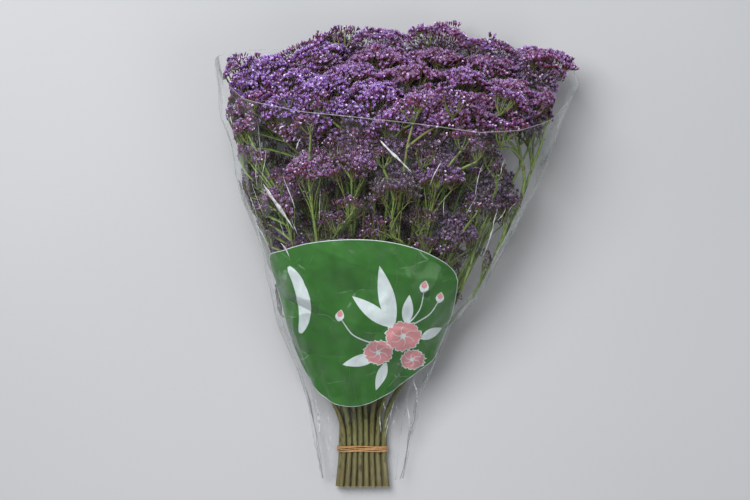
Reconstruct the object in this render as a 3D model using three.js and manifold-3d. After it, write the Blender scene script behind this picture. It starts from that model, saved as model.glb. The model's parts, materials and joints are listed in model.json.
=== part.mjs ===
// A sleeved bunch of dried statice, lying on the back panel of its film sleeve.
// Millimetres. X runs across the bunch, Y from the cut ends to the flower heads, Z up from the surface.

import * as THREE from 'three';
import { mergeVertices } from 'three/addons/utils/BufferGeometryUtils.js';
import Module from 'manifold-3d';

const wasm = await Module();
wasm.setup();

// Driving dimensions of the bunch. Y is counted from the cut stem ends here.

const REST_X = 30; // the resting point on the sleeve, across from the stem ends
const REST_Y = 400; // and along from them
const FLAT = 0.8; // height of a section's middle above the surface, in half depths
const LIFT = 1.6; // the flowers and stems over the surface, with the film between

// The space that the flowers and stems fill: y, half width, half depth, middle x.
const BUNCH = [
  [0, 46, 28, 0],
  [58, 44, 26, 0],
  [140, 68, 44, -3],
  [250, 122, 82, 5],
  [355, 170, 114, 28],
  [450, 208, 138, 35],
  [552, 240, 154, 46],
  [600, 254, 159, 50],
  [640, 268, 163, 59],
  [700, 280, 166, 64],
];
// The film round them, measured to its outside: the same four columns.
const FILM = [
  [14, 62, 28, 0],
  [80, 73, 35, 0],
  [140, 86, 51, 0],
  [172, 97, 62, 3],
  [250, 132, 90, 6],
  [290, 153, 104, 19],
  [355, 179, 122, 30],
  [450, 218, 146, 35],
  [552, 249, 161, 46],
  [620, 268, 168, 53],
  [650, 277, 171, 59],
  [676, 281, 172, 62],
];
const FILM_WALL = 0.8;
const FILM_FOOT = 14; // where its lower edge is
// Height of the film's upper rim round the section: degrees from +X by way of the front, and y.
const RIM = [
  [-54, 668],
  [-30, 655],
  [0, 600],
  [25, 532],
  [60, 526],
  [90, 540],
  [120, 554],
  [150, 578],
  [180, 640],
  [212, 665],
  [234, 672],
];
const FILM_BANDS = 7; // steps along the sleeve, round its arc and across its flat
const FILM_ARC_STEPS = 23;
const FILM_FLAT_STEPS = 4;

const TIE_Y = 58; // the rubber band's middle
const TIE_WIDTH = 9;
const TIE_THICK = 1.7;
const GAP = 0.35; // between pieces that touch
const STEM_GAP = 0.45; // between stems that are pressed together

// The crown's stems run up through the middle and the back, and spread above the lower heads.
const CROWN_HUB = -0.35; // the point they draw in to, in half depths
const CROWN_DRAWN = 0.6; // how far they are drawn in
const CROWN_SPREAD = [
  [492, CROWN_DRAWN],
  [530, 0.82],
  [560, 0.95],
  [590, 1],
];
const SKIRT_INSIDE = 0.69; // the lower heads keep outside this circle round the drawn-in crown

const REF_WIDTH = 262; // the crown's half width and half depth, in which heads share out the room
const REF_DEPTH = 162;
const HEAD_MARGIN = 1.3; // half the clearance between neighbouring heads
const EDGE_MARGIN = 3; // and clear of the edge of the bunch
const HEAD_REACH = 66; // the widest that half a head gets

// The sprays, with their heads: [across, front, y]. Across and front are fractions of the half width and
// half depth of the bunch, the front facing up as it lies, and y is the height of the head's middle. The first
// head of a spray sits on its main stem. `forks` are the heights where the other heads' branches leave it.
const SPRAYS = [
  { name: 'crown_1', heads: [[-0.43, 0.5, 590], [-0.7, 0.5, 562], [-0.36, 0.82, 550]], forks: [250, 330] },
  { name: 'crown_2', heads: [[-0.13, 0.56, 582], [0.02, 0.86, 541]], forks: [318] },
  { name: 'crown_3', heads: [[0.18, 0.54, 570], [0.4, 0.8, 540], [0.5, 0.5, 560]], forks: [300, 225] },
  { name: 'crown_4', heads: [[-0.58, 0.2, 606], [-0.86, 0.2, 598]], forks: [270] },
  { name: 'crown_5', heads: [[-0.26, 0.22, 615], [0.08, 0.23, 612]], forks: [340] },
  { name: 'crown_6', heads: [[0.66, 0.28, 588], [0.38, 0.22, 606], [0.89, 0.13, 574]], forks: [340, 210] },
  { name: 'crown_7', heads: [[-0.75, -0.1, 630], [-0.72, -0.42, 628]], forks: [300] },
  { name: 'crown_8', heads: [[-0.46, -0.1, 650], [-0.42, -0.4, 662], [-0.5, -0.68, 632]], forks: [350, 190] },
  { name: 'crown_9', heads: [[-0.13, -0.06, 642], [-0.15, -0.36, 676], [-0.17, -0.67, 650]], forks: [290, 160] },
  { name: 'crown_10', heads: [[0.2, -0.34, 681], [0.19, -0.04, 640], [0.16, -0.66, 656]], forks: [360, 210] },
  {
    name: 'crown_11',
    heads: [[0.49, -0.1, 630], [0.48, -0.4, 662], [0.47, -0.69, 640], [0.83, -0.18, 641], [0.75, -0.48, 650]],
    forks: [330, 175, 290, 225],
  },
  { name: 'skirt_1', heads: [[-0.86, 0.08, 372], [-0.74, 0.42, 440], [-0.84, -0.26, 455]], forks: [200, 170] },
  { name: 'skirt_2', heads: [[-0.53, 0.64, 478], [-0.24, 0.79, 482]], forks: [330] },
  { name: 'skirt_3', heads: [[0.34, 0.76, 470], [0.06, 0.83, 452]], forks: [320] },
  { name: 'skirt_4', heads: [[0.6, 0.58, 385], [0.78, 0.3, 436]], forks: [230] },
  { name: 'skirt_5', heads: [[0.85, -0.04, 424], [0.82, -0.34, 462]], forks: [240] },
];

const STEM_RADII = [[0, 4.2], [110, 4], [300, 3.2], [420, 2.6], [700, 2]];
const STEM_STEPS = [0, 49, 67, 95, 130, 190, 270, 350, 430, 500, 560];
const STEM_SIDES = 5;
const BRANCH_RADII = [[0, 2.6], [300, 2.3], [600, 1.7], [700, 1.6]];
const BRANCH_STEPS = [0.3, 0.62];
const BRANCH_SIDES = 4;
const BRANCH_MERGE = 90; // how far a branch climbs before it stands over its own head's place
const NECK_RADIUS = 1.2;
const TWIG_RADIUS = 1;
const TWIG_TIP_RADIUS = 0.75;
const TWIG_GAP = 0.6;
const HUB_TAPER = 0.8; // a branch thins to this where its twigs leave
const STEM_CLEAR = 30; // a stem's last step before its head keeps this far below the twigs
const HUB_DROP = 46; // the last twigs leave this far under a head
const TWIG_STEP = 7; // and the others this much lower, one after the other
const BUNDLE_FREE = 66; // the stems leave their places under the band here
const BUNDLE_LOOSE = 190; // and have reached their own places in the bunch here
const CUT_SPLAY = 0.14; // how much wider the cut ends stand
const CUT_RISE = 2.8; // and how much higher
const PRESS_ROUNDS = 700; // steps that press the stems together under the band
const SETTLE_ROUNDS = 200; // and steps that only keep them apart
const PRESS_ACROSS = 0.9985;
const PRESS_DOWN = 0.98;

// A head's plate: rings of floret roots from its middle to its rim.
const RINGS = [
  { at: 0.36, count: 5 },
  { at: 0.69, count: 11 },
  { at: 1, count: 16 },
];
const PLATE_DOME = 9;
const PLATE_BUMP = 3;
const PLATE_THICK = 10;
const PLATE_CORE = 14; // at the middle
const NUB_DROP = 5; // where a twig meets the plate
const NUB_AT = 0.6;
const NUB_RING = 8;
const LEAN_BACK = 0.3; // how much every plate leans with the bunch's own slope
const LEAN_OUT = 0.3; // and outwards, the more the further out it sits
const FLORET_MIN = 10;
const FLORET_MORE = 6;
const FLORET_LEAN = 3; // how far a floret's tip may stand off its root's middle, from side to side
const ROOT_TURN = 0.3; // how unevenly the roots are spaced round a ring

// Finishes

const violet = new THREE.MeshStandardMaterial({ color: 0x6c4f86, roughness: 0.85, metalness: 0 });
const stemGreen = new THREE.MeshStandardMaterial({ color: 0x56703a, roughness: 0.7, metalness: 0 });
const bandTan = new THREE.MeshStandardMaterial({ color: 0xb08a58, roughness: 0.6, metalness: 0 });
const clearFilm = new THREE.MeshStandardMaterial({
  color: 0xe6ecea,
  roughness: 0.12,
  metalness: 0,
  transparent: true,
  opacity: 0.25,
});

// Small helpers

function seededRandom(seed) {
  let state = seed >>> 0;
  return () => {
    state = (state + 0x6d2b79f5) >>> 0;
    let t = state;
    t = Math.imul(t ^ (t >>> 15), t | 1);
    t ^= t + Math.imul(t ^ (t >>> 7), t | 61);
    return ((t ^ (t >>> 14)) >>> 0) / 4294967296;
  };
}

function between(low, high, share) {
  return low + (high - low) * share;
}

function smoothStep(start, end, value) {
  const t = Math.min(1, Math.max(0, (value - start) / (end - start)));
  return t * t * (3 - 2 * t);
}

// Reads a table whose first column rises: the other columns at that value, on straight lines between rows.
function read(table, value) {
  let row = 0;
  while (row < table.length - 2 && value > table[row + 1][0]) row += 1;
  const [from, to] = [table[row], table[row + 1]];
  const share = Math.min(1, Math.max(0, (value - from[0]) / (to[0] - from[0])));
  return from.slice(1).map((column, index) => between(column, to[index + 1], share));
}

// A closed surface that is written point by point.
class Shell {
  constructor() {
    this.points = [];
    this.faces = [];
  }

  add(point) {
    this.points.push(point);
    return this.points.length - 1;
  }

  face(a, b, c) {
    this.faces.push([a, b, c]);
  }

  // Joins two rings of points that run the same way round, the first outside or below the second.
  stitch(outer, inner) {
    let [i, j] = [0, 0];
    while (i < outer.length || j < inner.length) {
      const a = outer[i % outer.length];
      const b = inner[j % inner.length];
      if (j >= inner.length || (i < outer.length && (i + 0.5) / outer.length <= (j + 0.5) / inner.length)) {
        this.face(a, outer[(i + 1) % outer.length], b);
        i += 1;
      } else {
        this.face(a, inner[(j + 1) % inner.length], b);
        j += 1;
      }
    }
  }

  // Closes a ring with a fan round one point.
  fan(ring, middle) {
    ring.forEach((point, index) => this.face(point, ring[(index + 1) % ring.length], middle));
  }

  geometry() {
    const geometry = new THREE.BufferGeometry();
    const flat = this.points.flatMap((point) => [point.x, point.y, point.z]);
    geometry.setAttribute('position', new THREE.Float32BufferAttribute(flat, 3));
    geometry.setIndex(this.faces.flat());
    return geometry;
  }
}

function toSolid(geometry) {
  const bare = geometry.clone();
  bare.deleteAttribute('normal');
  bare.deleteAttribute('uv');
  const merged = mergeVertices(bare, 1e-4);
  const triVerts = new Uint32Array(merged.index.array);
  const vertProperties = new Float32Array(merged.attributes.position.array);
  return new wasm.Manifold(new wasm.Mesh({ numProp: 3, vertProperties, triVerts }));
}

function fromSolid(solid) {
  const { vertProperties, triVerts } = solid.getMesh();
  const geometry = new THREE.BufferGeometry();
  geometry.setAttribute('position', new THREE.BufferAttribute(vertProperties, 3));
  geometry.setIndex(new THREE.BufferAttribute(triVerts, 1));
  return geometry;
}

// A tapered round piece along a path, with a radius for each point of the path.
function taperedTube(path, radii, sides) {
  const shell = new Shell();
  const across = new THREE.Vector3(1, 0, 0);
  const rings = path.map((point, index) => {
    const before = path[Math.max(0, index - 1)];
    const after = path[Math.min(path.length - 1, index + 1)];
    const along = after.clone().sub(before).normalize();
    const side = across.clone().addScaledVector(along, -across.dot(along)).normalize();
    const up = new THREE.Vector3().crossVectors(side, along);
    return Array.from({ length: sides }, (_, step) => {
      const turn = (2 * Math.PI * step) / sides;
      const out = side.clone().multiplyScalar(Math.cos(turn)).addScaledVector(up, Math.sin(turn));
      return shell.add(point.clone().addScaledVector(out, radii[index]));
    });
  });
  rings.slice(1).forEach((ring, index) => {
    const below = rings[index];
    below.forEach((point, step) => {
      const next = (step + 1) % sides;
      shell.face(point, ring[step], ring[next]);
      shell.face(point, ring[next], below[next]);
    });
  });
  shell.fan(rings[0], shell.add(path[0].clone()));
  shell.fan([...rings.at(-1)].reverse(), shell.add(path.at(-1).clone()));
  return shell.geometry();
}

// Where things stand in the bunch

// How far the crown has spread at a height, 1 where it fills the whole bunch.
function crownSpread(y) {
  return read(CROWN_SPREAD, y)[0];
}

// The place of a point given by its fractions across and to the front, at a height from the cut ends.
function place(across, front, y, isCrown) {
  const spread = isCrown ? crownSpread(y) : 1;
  const [halfWidth, halfDepth, middle] = read(BUNCH, y);
  const forward = isCrown ? CROWN_HUB + spread * (front - CROWN_HUB) : front;
  return new THREE.Vector3(
    middle + spread * across * halfWidth,
    y,
    LIFT + halfDepth * (FLAT + forward),
  );
}

const heads = SPRAYS.flatMap((spray, sprayIndex) => spray.heads.map(([across, front, y], index) => ({
  name: `${spray.name}_head_${index + 1}`,
  spray: sprayIndex,
  isCrown: spray.name.startsWith('crown'),
  across,
  front,
  y,
  seed: 100 * (sprayIndex + 1) + index,
})));

// How far a head may reach from its middle in one direction, in reference millimetres, before it meets the edge
// of the bunch or the halfway line to a neighbour.
function reach(head, angle) {
  const [dx, dz] = [Math.cos(angle), Math.sin(angle)];
  const [x, z] = [head.across * REF_WIDTH, head.front * REF_DEPTH];
  let free = HEAD_REACH;
  for (const other of heads) {
    if (other === head || other.isCrown !== head.isCrown) continue;
    const [ox, oz] = [other.across * REF_WIDTH - x, other.front * REF_DEPTH - z];
    const gap = Math.hypot(ox, oz);
    const toward = (dx * ox + dz * oz) / gap;
    if (toward > 1e-6) free = Math.min(free, (gap / 2 - HEAD_MARGIN) / toward);
  }
  const [du, dv] = [dx / REF_WIDTH, dz / REF_DEPTH];
  free = Math.min(free, toCircle(head.across, head.front, du, dv, 1, true) - EDGE_MARGIN);
  if (dv < 0) free = Math.min(free, (-FLAT - head.front) / dv - HEAD_MARGIN);
  if (!head.isCrown) {
    const middle = CROWN_HUB * (1 - CROWN_DRAWN);
    free = Math.min(free, toCircle(head.across, head.front - middle, du, dv, SKIRT_INSIDE, false) - HEAD_MARGIN);
  }
  return free;
}

// The distance along (du, dv) from (u, v) to a circle round the origin: its far side from within, else its near.
function toCircle(u, v, du, dv, radius, isInside) {
  const a = du * du + dv * dv;
  const b = u * du + v * dv;
  const c = u * u + v * v - radius * radius;
  const root = b * b - a * c;
  if (root < 0) return Infinity;
  const distance = (-b + (isInside ? 1 : -1) * Math.sqrt(root)) / a;
  return distance < 0 ? Infinity : distance;
}

// The plate's height over the head's middle, at an offset in reference millimetres.
function plateRise(head, dx, dz, share) {
  const leanX = -LEAN_OUT * head.across;
  const leanZ = -LEAN_BACK - LEAN_OUT * Math.max(0, head.front);
  return leanX * dx + leanZ * dz - PLATE_DOME * share * share;
}

// A head: a plate whose top is raised into pointed florets, one on each of its small faces, and whose
// underside comes down in nubs, where the twigs meet it. Returns its geometry and the nubs.
function makeHead(head) {
  const random = seededRandom(head.seed);
  const shell = new Shell();
  const at = (dx, dz, rise) => place(
    head.across + dx / REF_WIDTH,
    head.front + dz / REF_DEPTH,
    head.y + rise,
    head.isCrown,
  );
  const offsets = new Map();
  const root = (dx, dz, share) => {
    const rise = plateRise(head, dx, dz, share) + PLATE_BUMP * (random() * 2 - 1);
    const index = shell.add(at(dx, dz, rise));
    offsets.set(index, { dx, dz, rise });
    return index;
  };
  const start = random() * Math.PI;
  const rings = RINGS.map((ring) => Array.from({ length: ring.count }, (_, step) => {
    const isRim = ring.at === 1;
    const angle = start + (2 * Math.PI * (step + (random() - 0.5) * ROOT_TURN)) / ring.count;
    const share = ring.at * (isRim ? 0.91 + 0.09 * random() : 0.94 + 0.12 * random());
    const out = share * reach(head, angle);
    return root(out * Math.cos(angle), out * Math.sin(angle), share);
  }));
  const middle = root(0, 0, 0);

  // The small faces between the floret roots, gathered first and then raised.
  const base = new Shell();
  base.fan(rings[0], middle);
  base.stitch(rings[1], rings[0]);
  base.stitch(rings[2], rings[1]);
  for (const face of base.faces) {
    const corners = face.map((index) => offsets.get(index));
    const mean = (key) => corners.reduce((sum, corner) => sum + corner[key], 0) / 3;
    const dx = mean('dx') + (random() - 0.5) * FLORET_LEAN;
    const dz = mean('dz') + (random() - 0.5) * FLORET_LEAN;
    const tip = shell.add(at(dx, dz, mean('rise') + FLORET_MIN + FLORET_MORE * random()));
    shell.face(face[0], tip, face[1]);
    shell.face(face[1], tip, face[2]);
    shell.face(face[2], tip, face[0]);
  }

  // The underside.
  const nubs = [];
  const under = Array.from({ length: NUB_RING }, (_, step) => {
    const angle = start + (2 * Math.PI * (step + 0.25)) / NUB_RING;
    const out = NUB_AT * reach(head, angle);
    const [dx, dz] = [out * Math.cos(angle), out * Math.sin(angle)];
    const isNub = step % 2 === 0;
    const rise = plateRise(head, dx, dz, NUB_AT) - PLATE_THICK - (isNub ? NUB_DROP : 0);
    const point = at(dx, dz, rise);
    if (isNub) nubs.push(at(dx, dz, rise - TWIG_GAP));
    return shell.add(point);
  });
  const core = shell.add(at(0, 0, -PLATE_CORE - NUB_DROP));
  const below = new Shell();
  below.stitch(rings[2], under);
  below.fan(under, core);
  below.faces.forEach(([a, b, c]) => shell.face(a, b, c));
  const hub = at(0, 0, -PLATE_CORE - NUB_DROP - HUB_DROP);
  return { geometry: shell.geometry(), nubs, neck: at(0, 0, -PLATE_CORE - NUB_DROP - TWIG_GAP), hub };
}

// The stems under the band: they start at their places in the bunch and are pressed together until they touch.
function packStems() {
  const radius = read(STEM_RADII, TIE_Y)[0];
  const [halfWidth, halfDepth] = read(BUNCH, TIE_Y);
  const packed = SPRAYS.map((spray) => {
    const [across, front] = spray.heads[0];
    return { x: across * halfWidth, z: front * halfDepth };
  });
  const apart = 2 * radius + STEM_GAP;
  for (let round = 0; round < PRESS_ROUNDS + SETTLE_ROUNDS; round += 1) {
    const isPressed = round < PRESS_ROUNDS;
    for (const stem of packed) {
      stem.x *= isPressed ? PRESS_ACROSS : 1;
      stem.z *= isPressed ? PRESS_DOWN : 1;
    }
    for (let i = 0; i < packed.length; i += 1) {
      for (let j = i + 1; j < packed.length; j += 1) {
        const [dx, dz] = [packed[j].x - packed[i].x, packed[j].z - packed[i].z];
        const distance = Math.hypot(dx, dz);
        if (distance >= apart) continue;
        const push = (apart - distance) / 2 / distance;
        packed[i].x -= dx * push;
        packed[i].z -= dz * push;
        packed[j].x += dx * push;
        packed[j].z += dz * push;
      }
    }
  }
  const lowest = Math.min(...packed.map((stem) => stem.z));
  const seat = FILM_WALL + GAP + TIE_THICK + GAP + radius;
  packed.forEach((stem) => { stem.z += seat - lowest; });
  return packed;
}

const packed = packStems();

// A point on a stem: under the band in its pressed place, further up in its place in the bunch.
function stemPoint(spray, across, front, y) {
  const isCrown = SPRAYS[spray].name.startsWith('crown');
  const free = place(across, front, y, isCrown);
  const toCut = Math.max(0, 1 - y / (TIE_Y - TIE_WIDTH));
  const stem = packed[spray];
  const bound = new THREE.Vector3(stem.x * (1 + CUT_SPLAY * toCut), y, stem.z + CUT_RISE * toCut);
  return bound.lerp(free, smoothStep(BUNDLE_FREE, BUNDLE_LOOSE, y));
}

// A spray's green parts in one solid: its main stem, the branches to its other heads, and their twigs.
function makeSpray(sprayIndex, sprayHeads, tops) {
  const spray = SPRAYS[sprayIndex];
  const [main] = sprayHeads;
  const pieces = [];
  sprayHeads.forEach((head, index) => {
    const { nubs, neck, hub } = tops[index];
    const fork = index === 0 ? 0 : spray.forks[index - 1];
    const radii = index === 0 ? STEM_RADII : BRANCH_RADII;
    const steps = index === 0
      ? STEM_STEPS.filter((y) => y < hub.y - STEM_CLEAR)
      : [fork, ...BRANCH_STEPS.map((share) => between(fork, hub.y, share))];
    const path = steps.map((y) => {
      const own = index === 0 ? 1 : smoothStep(fork, fork + BRANCH_MERGE, y);
      const across = between(main.across, head.across, own);
      const front = between(main.front, head.front, own);
      return stemPoint(sprayIndex, across, front, y);
    });
    const thick = steps.map((y) => read(radii, y)[0]);
    path.push(hub, neck);
    thick.push(read(radii, hub.y)[0] * HUB_TAPER, NECK_RADIUS);
    pieces.push(taperedTube(path, thick, index === 0 ? STEM_SIDES : BRANCH_SIDES));
    nubs.forEach((nub, step) => {
      const back = new THREE.Vector3().subVectors(path.at(-3), hub).normalize();
      const root = hub.clone().addScaledVector(back, TWIG_STEP * ((step * 2) % nubs.length));
      pieces.push(taperedTube([root, nub], [TWIG_RADIUS, TWIG_TIP_RADIUS], 3));
    });
  });
  return fromSolid(pieces.map(toSolid).reduce((whole, piece) => whole.add(piece)));
}

// The sleeve

// The two outlines of the film's section: points of [degrees, across, front], the front ones on the arc and the
// others along the flat where it lies.
function filmSection() {
  const corner = THREE.MathUtils.radToDeg(Math.asin(FLAT));
  const arc = Array.from({ length: FILM_ARC_STEPS + 1 }, (_, step) => {
    const degrees = between(-corner, 180 + corner, step / FILM_ARC_STEPS);
    const angle = THREE.MathUtils.degToRad(degrees);
    return [degrees, Math.cos(angle), Math.sin(angle)];
  });
  const [, edge] = arc[0];
  const flat = Array.from({ length: FILM_FLAT_STEPS - 1 }, (_, step) => {
    const share = (step + 1) / FILM_FLAT_STEPS;
    return [between(180 + corner, 360 - corner, share), between(-edge, edge, share), -FLAT];
  });
  return [...arc, ...flat];
}

function makeSleeve() {
  const shell = new Shell();
  const section = filmSection();
  const rings = (inset) => Array.from({ length: FILM_BANDS + 1 }, (_, band) => section.map(
    ([degrees, across, front]) => {
      const rim = read(RIM, degrees > 270 ? degrees - 360 : degrees)[0];
      const y = between(FILM_FOOT, rim, band / FILM_BANDS);
      const [halfWidth, halfDepth, middle] = read(FILM, y);
      const z = halfDepth * FLAT + (halfDepth - inset) * front;
      return shell.add(new THREE.Vector3(middle + (halfWidth - inset) * across, y, Math.max(z, inset)));
    },
  ));
  const [outer, inner] = [rings(0), rings(FILM_WALL)];
  const skin = (from, to) => from.forEach((point, step) => {
    const next = (step + 1) % from.length;
    shell.face(point, to[next], to[step]);
    shell.face(point, from[next], to[next]);
  });
  for (let band = 0; band < FILM_BANDS; band += 1) {
    skin(outer[band + 1], outer[band]);
    skin(inner[band], inner[band + 1]);
  }
  skin(outer[0], inner[0]);
  skin(inner[FILM_BANDS], outer[FILM_BANDS]);
  return shell.geometry();
}

// The rubber band

// The outline that a taut loop takes round the stems, this far outside them.
function loopOutline(clearance) {
  const radius = read(STEM_RADII, TIE_Y)[0] + clearance;
  const points = packed.flatMap((stem) => Array.from({ length: 12 }, (_, step) => {
    const turn = (Math.PI * step) / 6;
    return new THREE.Vector2(stem.x + radius * Math.cos(turn), stem.z + radius * Math.sin(turn));
  }));
  points.sort((a, b) => a.x - b.x || a.y - b.y);
  const half = (ordered) => ordered.reduce((hull, point) => {
    while (hull.length > 1) {
      const [before, last] = hull.slice(-2);
      const turn = (last.x - before.x) * (point.y - before.y) - (last.y - before.y) * (point.x - before.x);
      if (turn > 1e-3) break;
      hull.pop();
    }
    return [...hull, point];
  }, []);
  return [...half(points).slice(0, -1), ...half([...points].reverse()).slice(0, -1)];
}

function makeBand() {
  const shape = new THREE.Shape(loopOutline(GAP + TIE_THICK));
  shape.holes.push(new THREE.Path([...loopOutline(GAP)].reverse()));
  const geometry = new THREE.ExtrudeGeometry(shape, { depth: TIE_WIDTH, bevelEnabled: false });
  return geometry.rotateX(Math.PI / 2).translate(0, TIE_Y + TIE_WIDTH / 2, 0);
}

// The bunch

const bunch = new THREE.Group();
bunch.position.set(-REST_X, -REST_Y, 0);

function addPiece(name, geometry, material) {
  const piece = new THREE.Mesh(geometry, material);
  piece.name = name;
  bunch.add(piece);
}

SPRAYS.forEach((spray, sprayIndex) => {
  const sprayHeads = heads.filter((head) => head.spray === sprayIndex);
  const tops = sprayHeads.map(makeHead);
  addPiece(`${spray.name}_stem`, makeSpray(sprayIndex, sprayHeads, tops), stemGreen);
  sprayHeads.forEach((head, index) => addPiece(head.name, tops[index].geometry, violet));
});
addPiece('rubber_band', makeBand(), bandTan);
addPiece('film_sleeve', makeSleeve(), clearFilm);

export default bunch;
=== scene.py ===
"""A sleeved bunch of dried statice, lying on the back panel of its film sleeve.

The bunch is laid out in millimetres: X across it, Y from the cut stem ends to the flower heads and Z up
from the surface. The heads, sprays and sleeve follow the same rules as the CAD solids they stand for.
"""

import json
import logging
import math
import random
from collections.abc import Callable, Iterable, Sequence
from dataclasses import dataclass, field
from enum import Enum, IntEnum
from functools import partial
from typing import Any

import bpy
import numpy as np
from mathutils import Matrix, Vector
from mathutils.geometry import delaunay_2d_cdt

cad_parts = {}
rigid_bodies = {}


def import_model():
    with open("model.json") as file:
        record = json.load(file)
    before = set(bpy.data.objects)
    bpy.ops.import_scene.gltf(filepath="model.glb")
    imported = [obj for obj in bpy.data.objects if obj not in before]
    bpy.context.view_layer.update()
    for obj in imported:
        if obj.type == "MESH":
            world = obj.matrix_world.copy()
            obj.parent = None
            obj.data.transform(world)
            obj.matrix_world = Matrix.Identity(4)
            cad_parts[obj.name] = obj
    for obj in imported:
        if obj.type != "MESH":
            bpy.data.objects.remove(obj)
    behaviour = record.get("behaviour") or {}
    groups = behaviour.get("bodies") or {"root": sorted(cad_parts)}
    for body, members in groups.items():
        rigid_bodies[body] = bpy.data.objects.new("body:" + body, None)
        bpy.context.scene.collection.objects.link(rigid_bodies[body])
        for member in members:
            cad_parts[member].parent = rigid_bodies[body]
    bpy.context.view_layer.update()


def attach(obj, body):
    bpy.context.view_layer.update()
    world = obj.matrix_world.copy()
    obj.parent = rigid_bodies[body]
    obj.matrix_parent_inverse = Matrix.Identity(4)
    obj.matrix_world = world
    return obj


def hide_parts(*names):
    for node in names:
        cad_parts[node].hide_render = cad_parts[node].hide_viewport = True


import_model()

Array = np.ndarray
Mesh = bpy.types.Mesh
Object = bpy.types.Object
Socket = bpy.types.NodeSocket
Tree = bpy.types.NodeTree
Adder = Callable[..., Any]
Place = tuple[float, float, float]
Rows = tuple[tuple[float, ...], ...]
Stops = tuple[tuple[float, str], ...]

LOG = logging.getLogger("statice")
MM = 0.001
REST_POINT = np.array([30.0, 400.0, 0.0])  # the frame's origin, in the bunch's own millimetres
UP_THE_BUNCH = np.array([0.0, 1.0, 0.0])


# Small helpers


def to_frame(points: Array) -> Array:
    """Gives bunch millimetres in the frame's metres."""
    return (np.asarray(points, float) - REST_POINT) * MM


def unit(vector: Array) -> Array:
    """Gives a vector the length 1."""
    return vector / max(float(np.linalg.norm(vector)), 1e-9)


def level(angle: float) -> Array:
    """Gives the level direction at an angle from +X towards the front."""
    return np.array([math.cos(angle), 0.0, math.sin(angle)])


def jitter(chance: random.Random, size: float) -> Array:
    """Gives a random offset of about this size on each axis."""
    return np.array([chance.gauss(0, size) for _ in range(3)])


def smooth_step(start: float, end: float, value: Any) -> Any:
    """Rises smoothly from 0 at start to 1 at end."""
    t = np.clip((np.asarray(value, float) - start) / (end - start), 0.0, 1.0)
    return t * t * (3 - 2 * t)


def linear(code: str) -> tuple[float, float, float, float]:
    """Turns an sRGB hex colour into Blender's linear one."""
    parts = [int(code[i : i + 2], 16) / 255 for i in (1, 3, 5)]
    r, g, b = (c / 12.92 if c <= 0.04045 else ((c + 0.055) / 1.055) ** 2.4 for c in parts)
    return (r, g, b, 1.0)


def smooth_path(points: Sequence[Any], radii: Sequence[float], cuts: int) -> tuple[Array, Array]:
    """Rounds a path off with a curve through its points.

    Args:
        points: the corners.
        radii: the thickness at each corner.
        cuts: steps between two corners.

    Returns:
        The points of the curve and their radii.
    """
    p, r = np.asarray(points, float), np.asarray(radii, float)
    ends = np.vstack([2 * p[0] - p[1], p, 2 * p[-1] - p[-2]])
    out, thick = [], []
    for i in range(len(p) - 1):
        a, b, c, d = ends[i : i + 4]
        bend, twist = 2 * a - 5 * b + 4 * c - d, 3 * b - a - 3 * c + d
        for t in np.linspace(0, 1, cuts, endpoint=False):
            out.append(0.5 * (2 * b + (c - a) * t + bend * t**2 + twist * t**3))
            thick.append(r[i] + (r[i + 1] - r[i]) * t)
    return np.array([*out, p[-1]]), np.array([*thick, r[-1]])


def even_steps(outline: Array, count: int) -> Array:
    """Gives a closed outline in even steps."""
    closed = np.vstack([outline, outline[:1]])
    lengths = np.concatenate([[0], np.cumsum(np.linalg.norm(np.diff(closed, axis=0), axis=1))])
    marks = np.linspace(0, lengths[-1], count, endpoint=False)
    return np.stack([np.interp(marks, lengths, closed[:, i]) for i in (0, 1)], -1)


def add_node(tree: Tree, kind: str, inputs: Any = (), stops: Stops = (), **settings: Any) -> Any:
    """Adds a node with its settings and links.

    Args:
        tree: the tree that it goes into.
        kind: the node's type.
        inputs: in order or by name, each input's value or the output or list of outputs that feeds it.
        stops: a colour ramp's places with their hex colours.
        **settings: the node's own properties.

    Returns:
        The node's outputs.
    """
    node = tree.nodes.new(kind)
    for key, value in settings.items():
        setattr(node, key, value)
    for index, (position, code) in enumerate(stops):
        elements = node.color_ramp.elements
        element = elements[index] if index < 2 else elements.new(position)
        element.position = position
        element.color = linear(code)
    for key, value in inputs.items() if isinstance(inputs, dict) else enumerate(inputs):
        for source in value if isinstance(value, list) else [value]:
            if isinstance(source, Socket):
                tree.links.new(source, node.inputs[key])
            else:
                node.inputs[key].default_value = source
    return node.outputs


# Finishes


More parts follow.
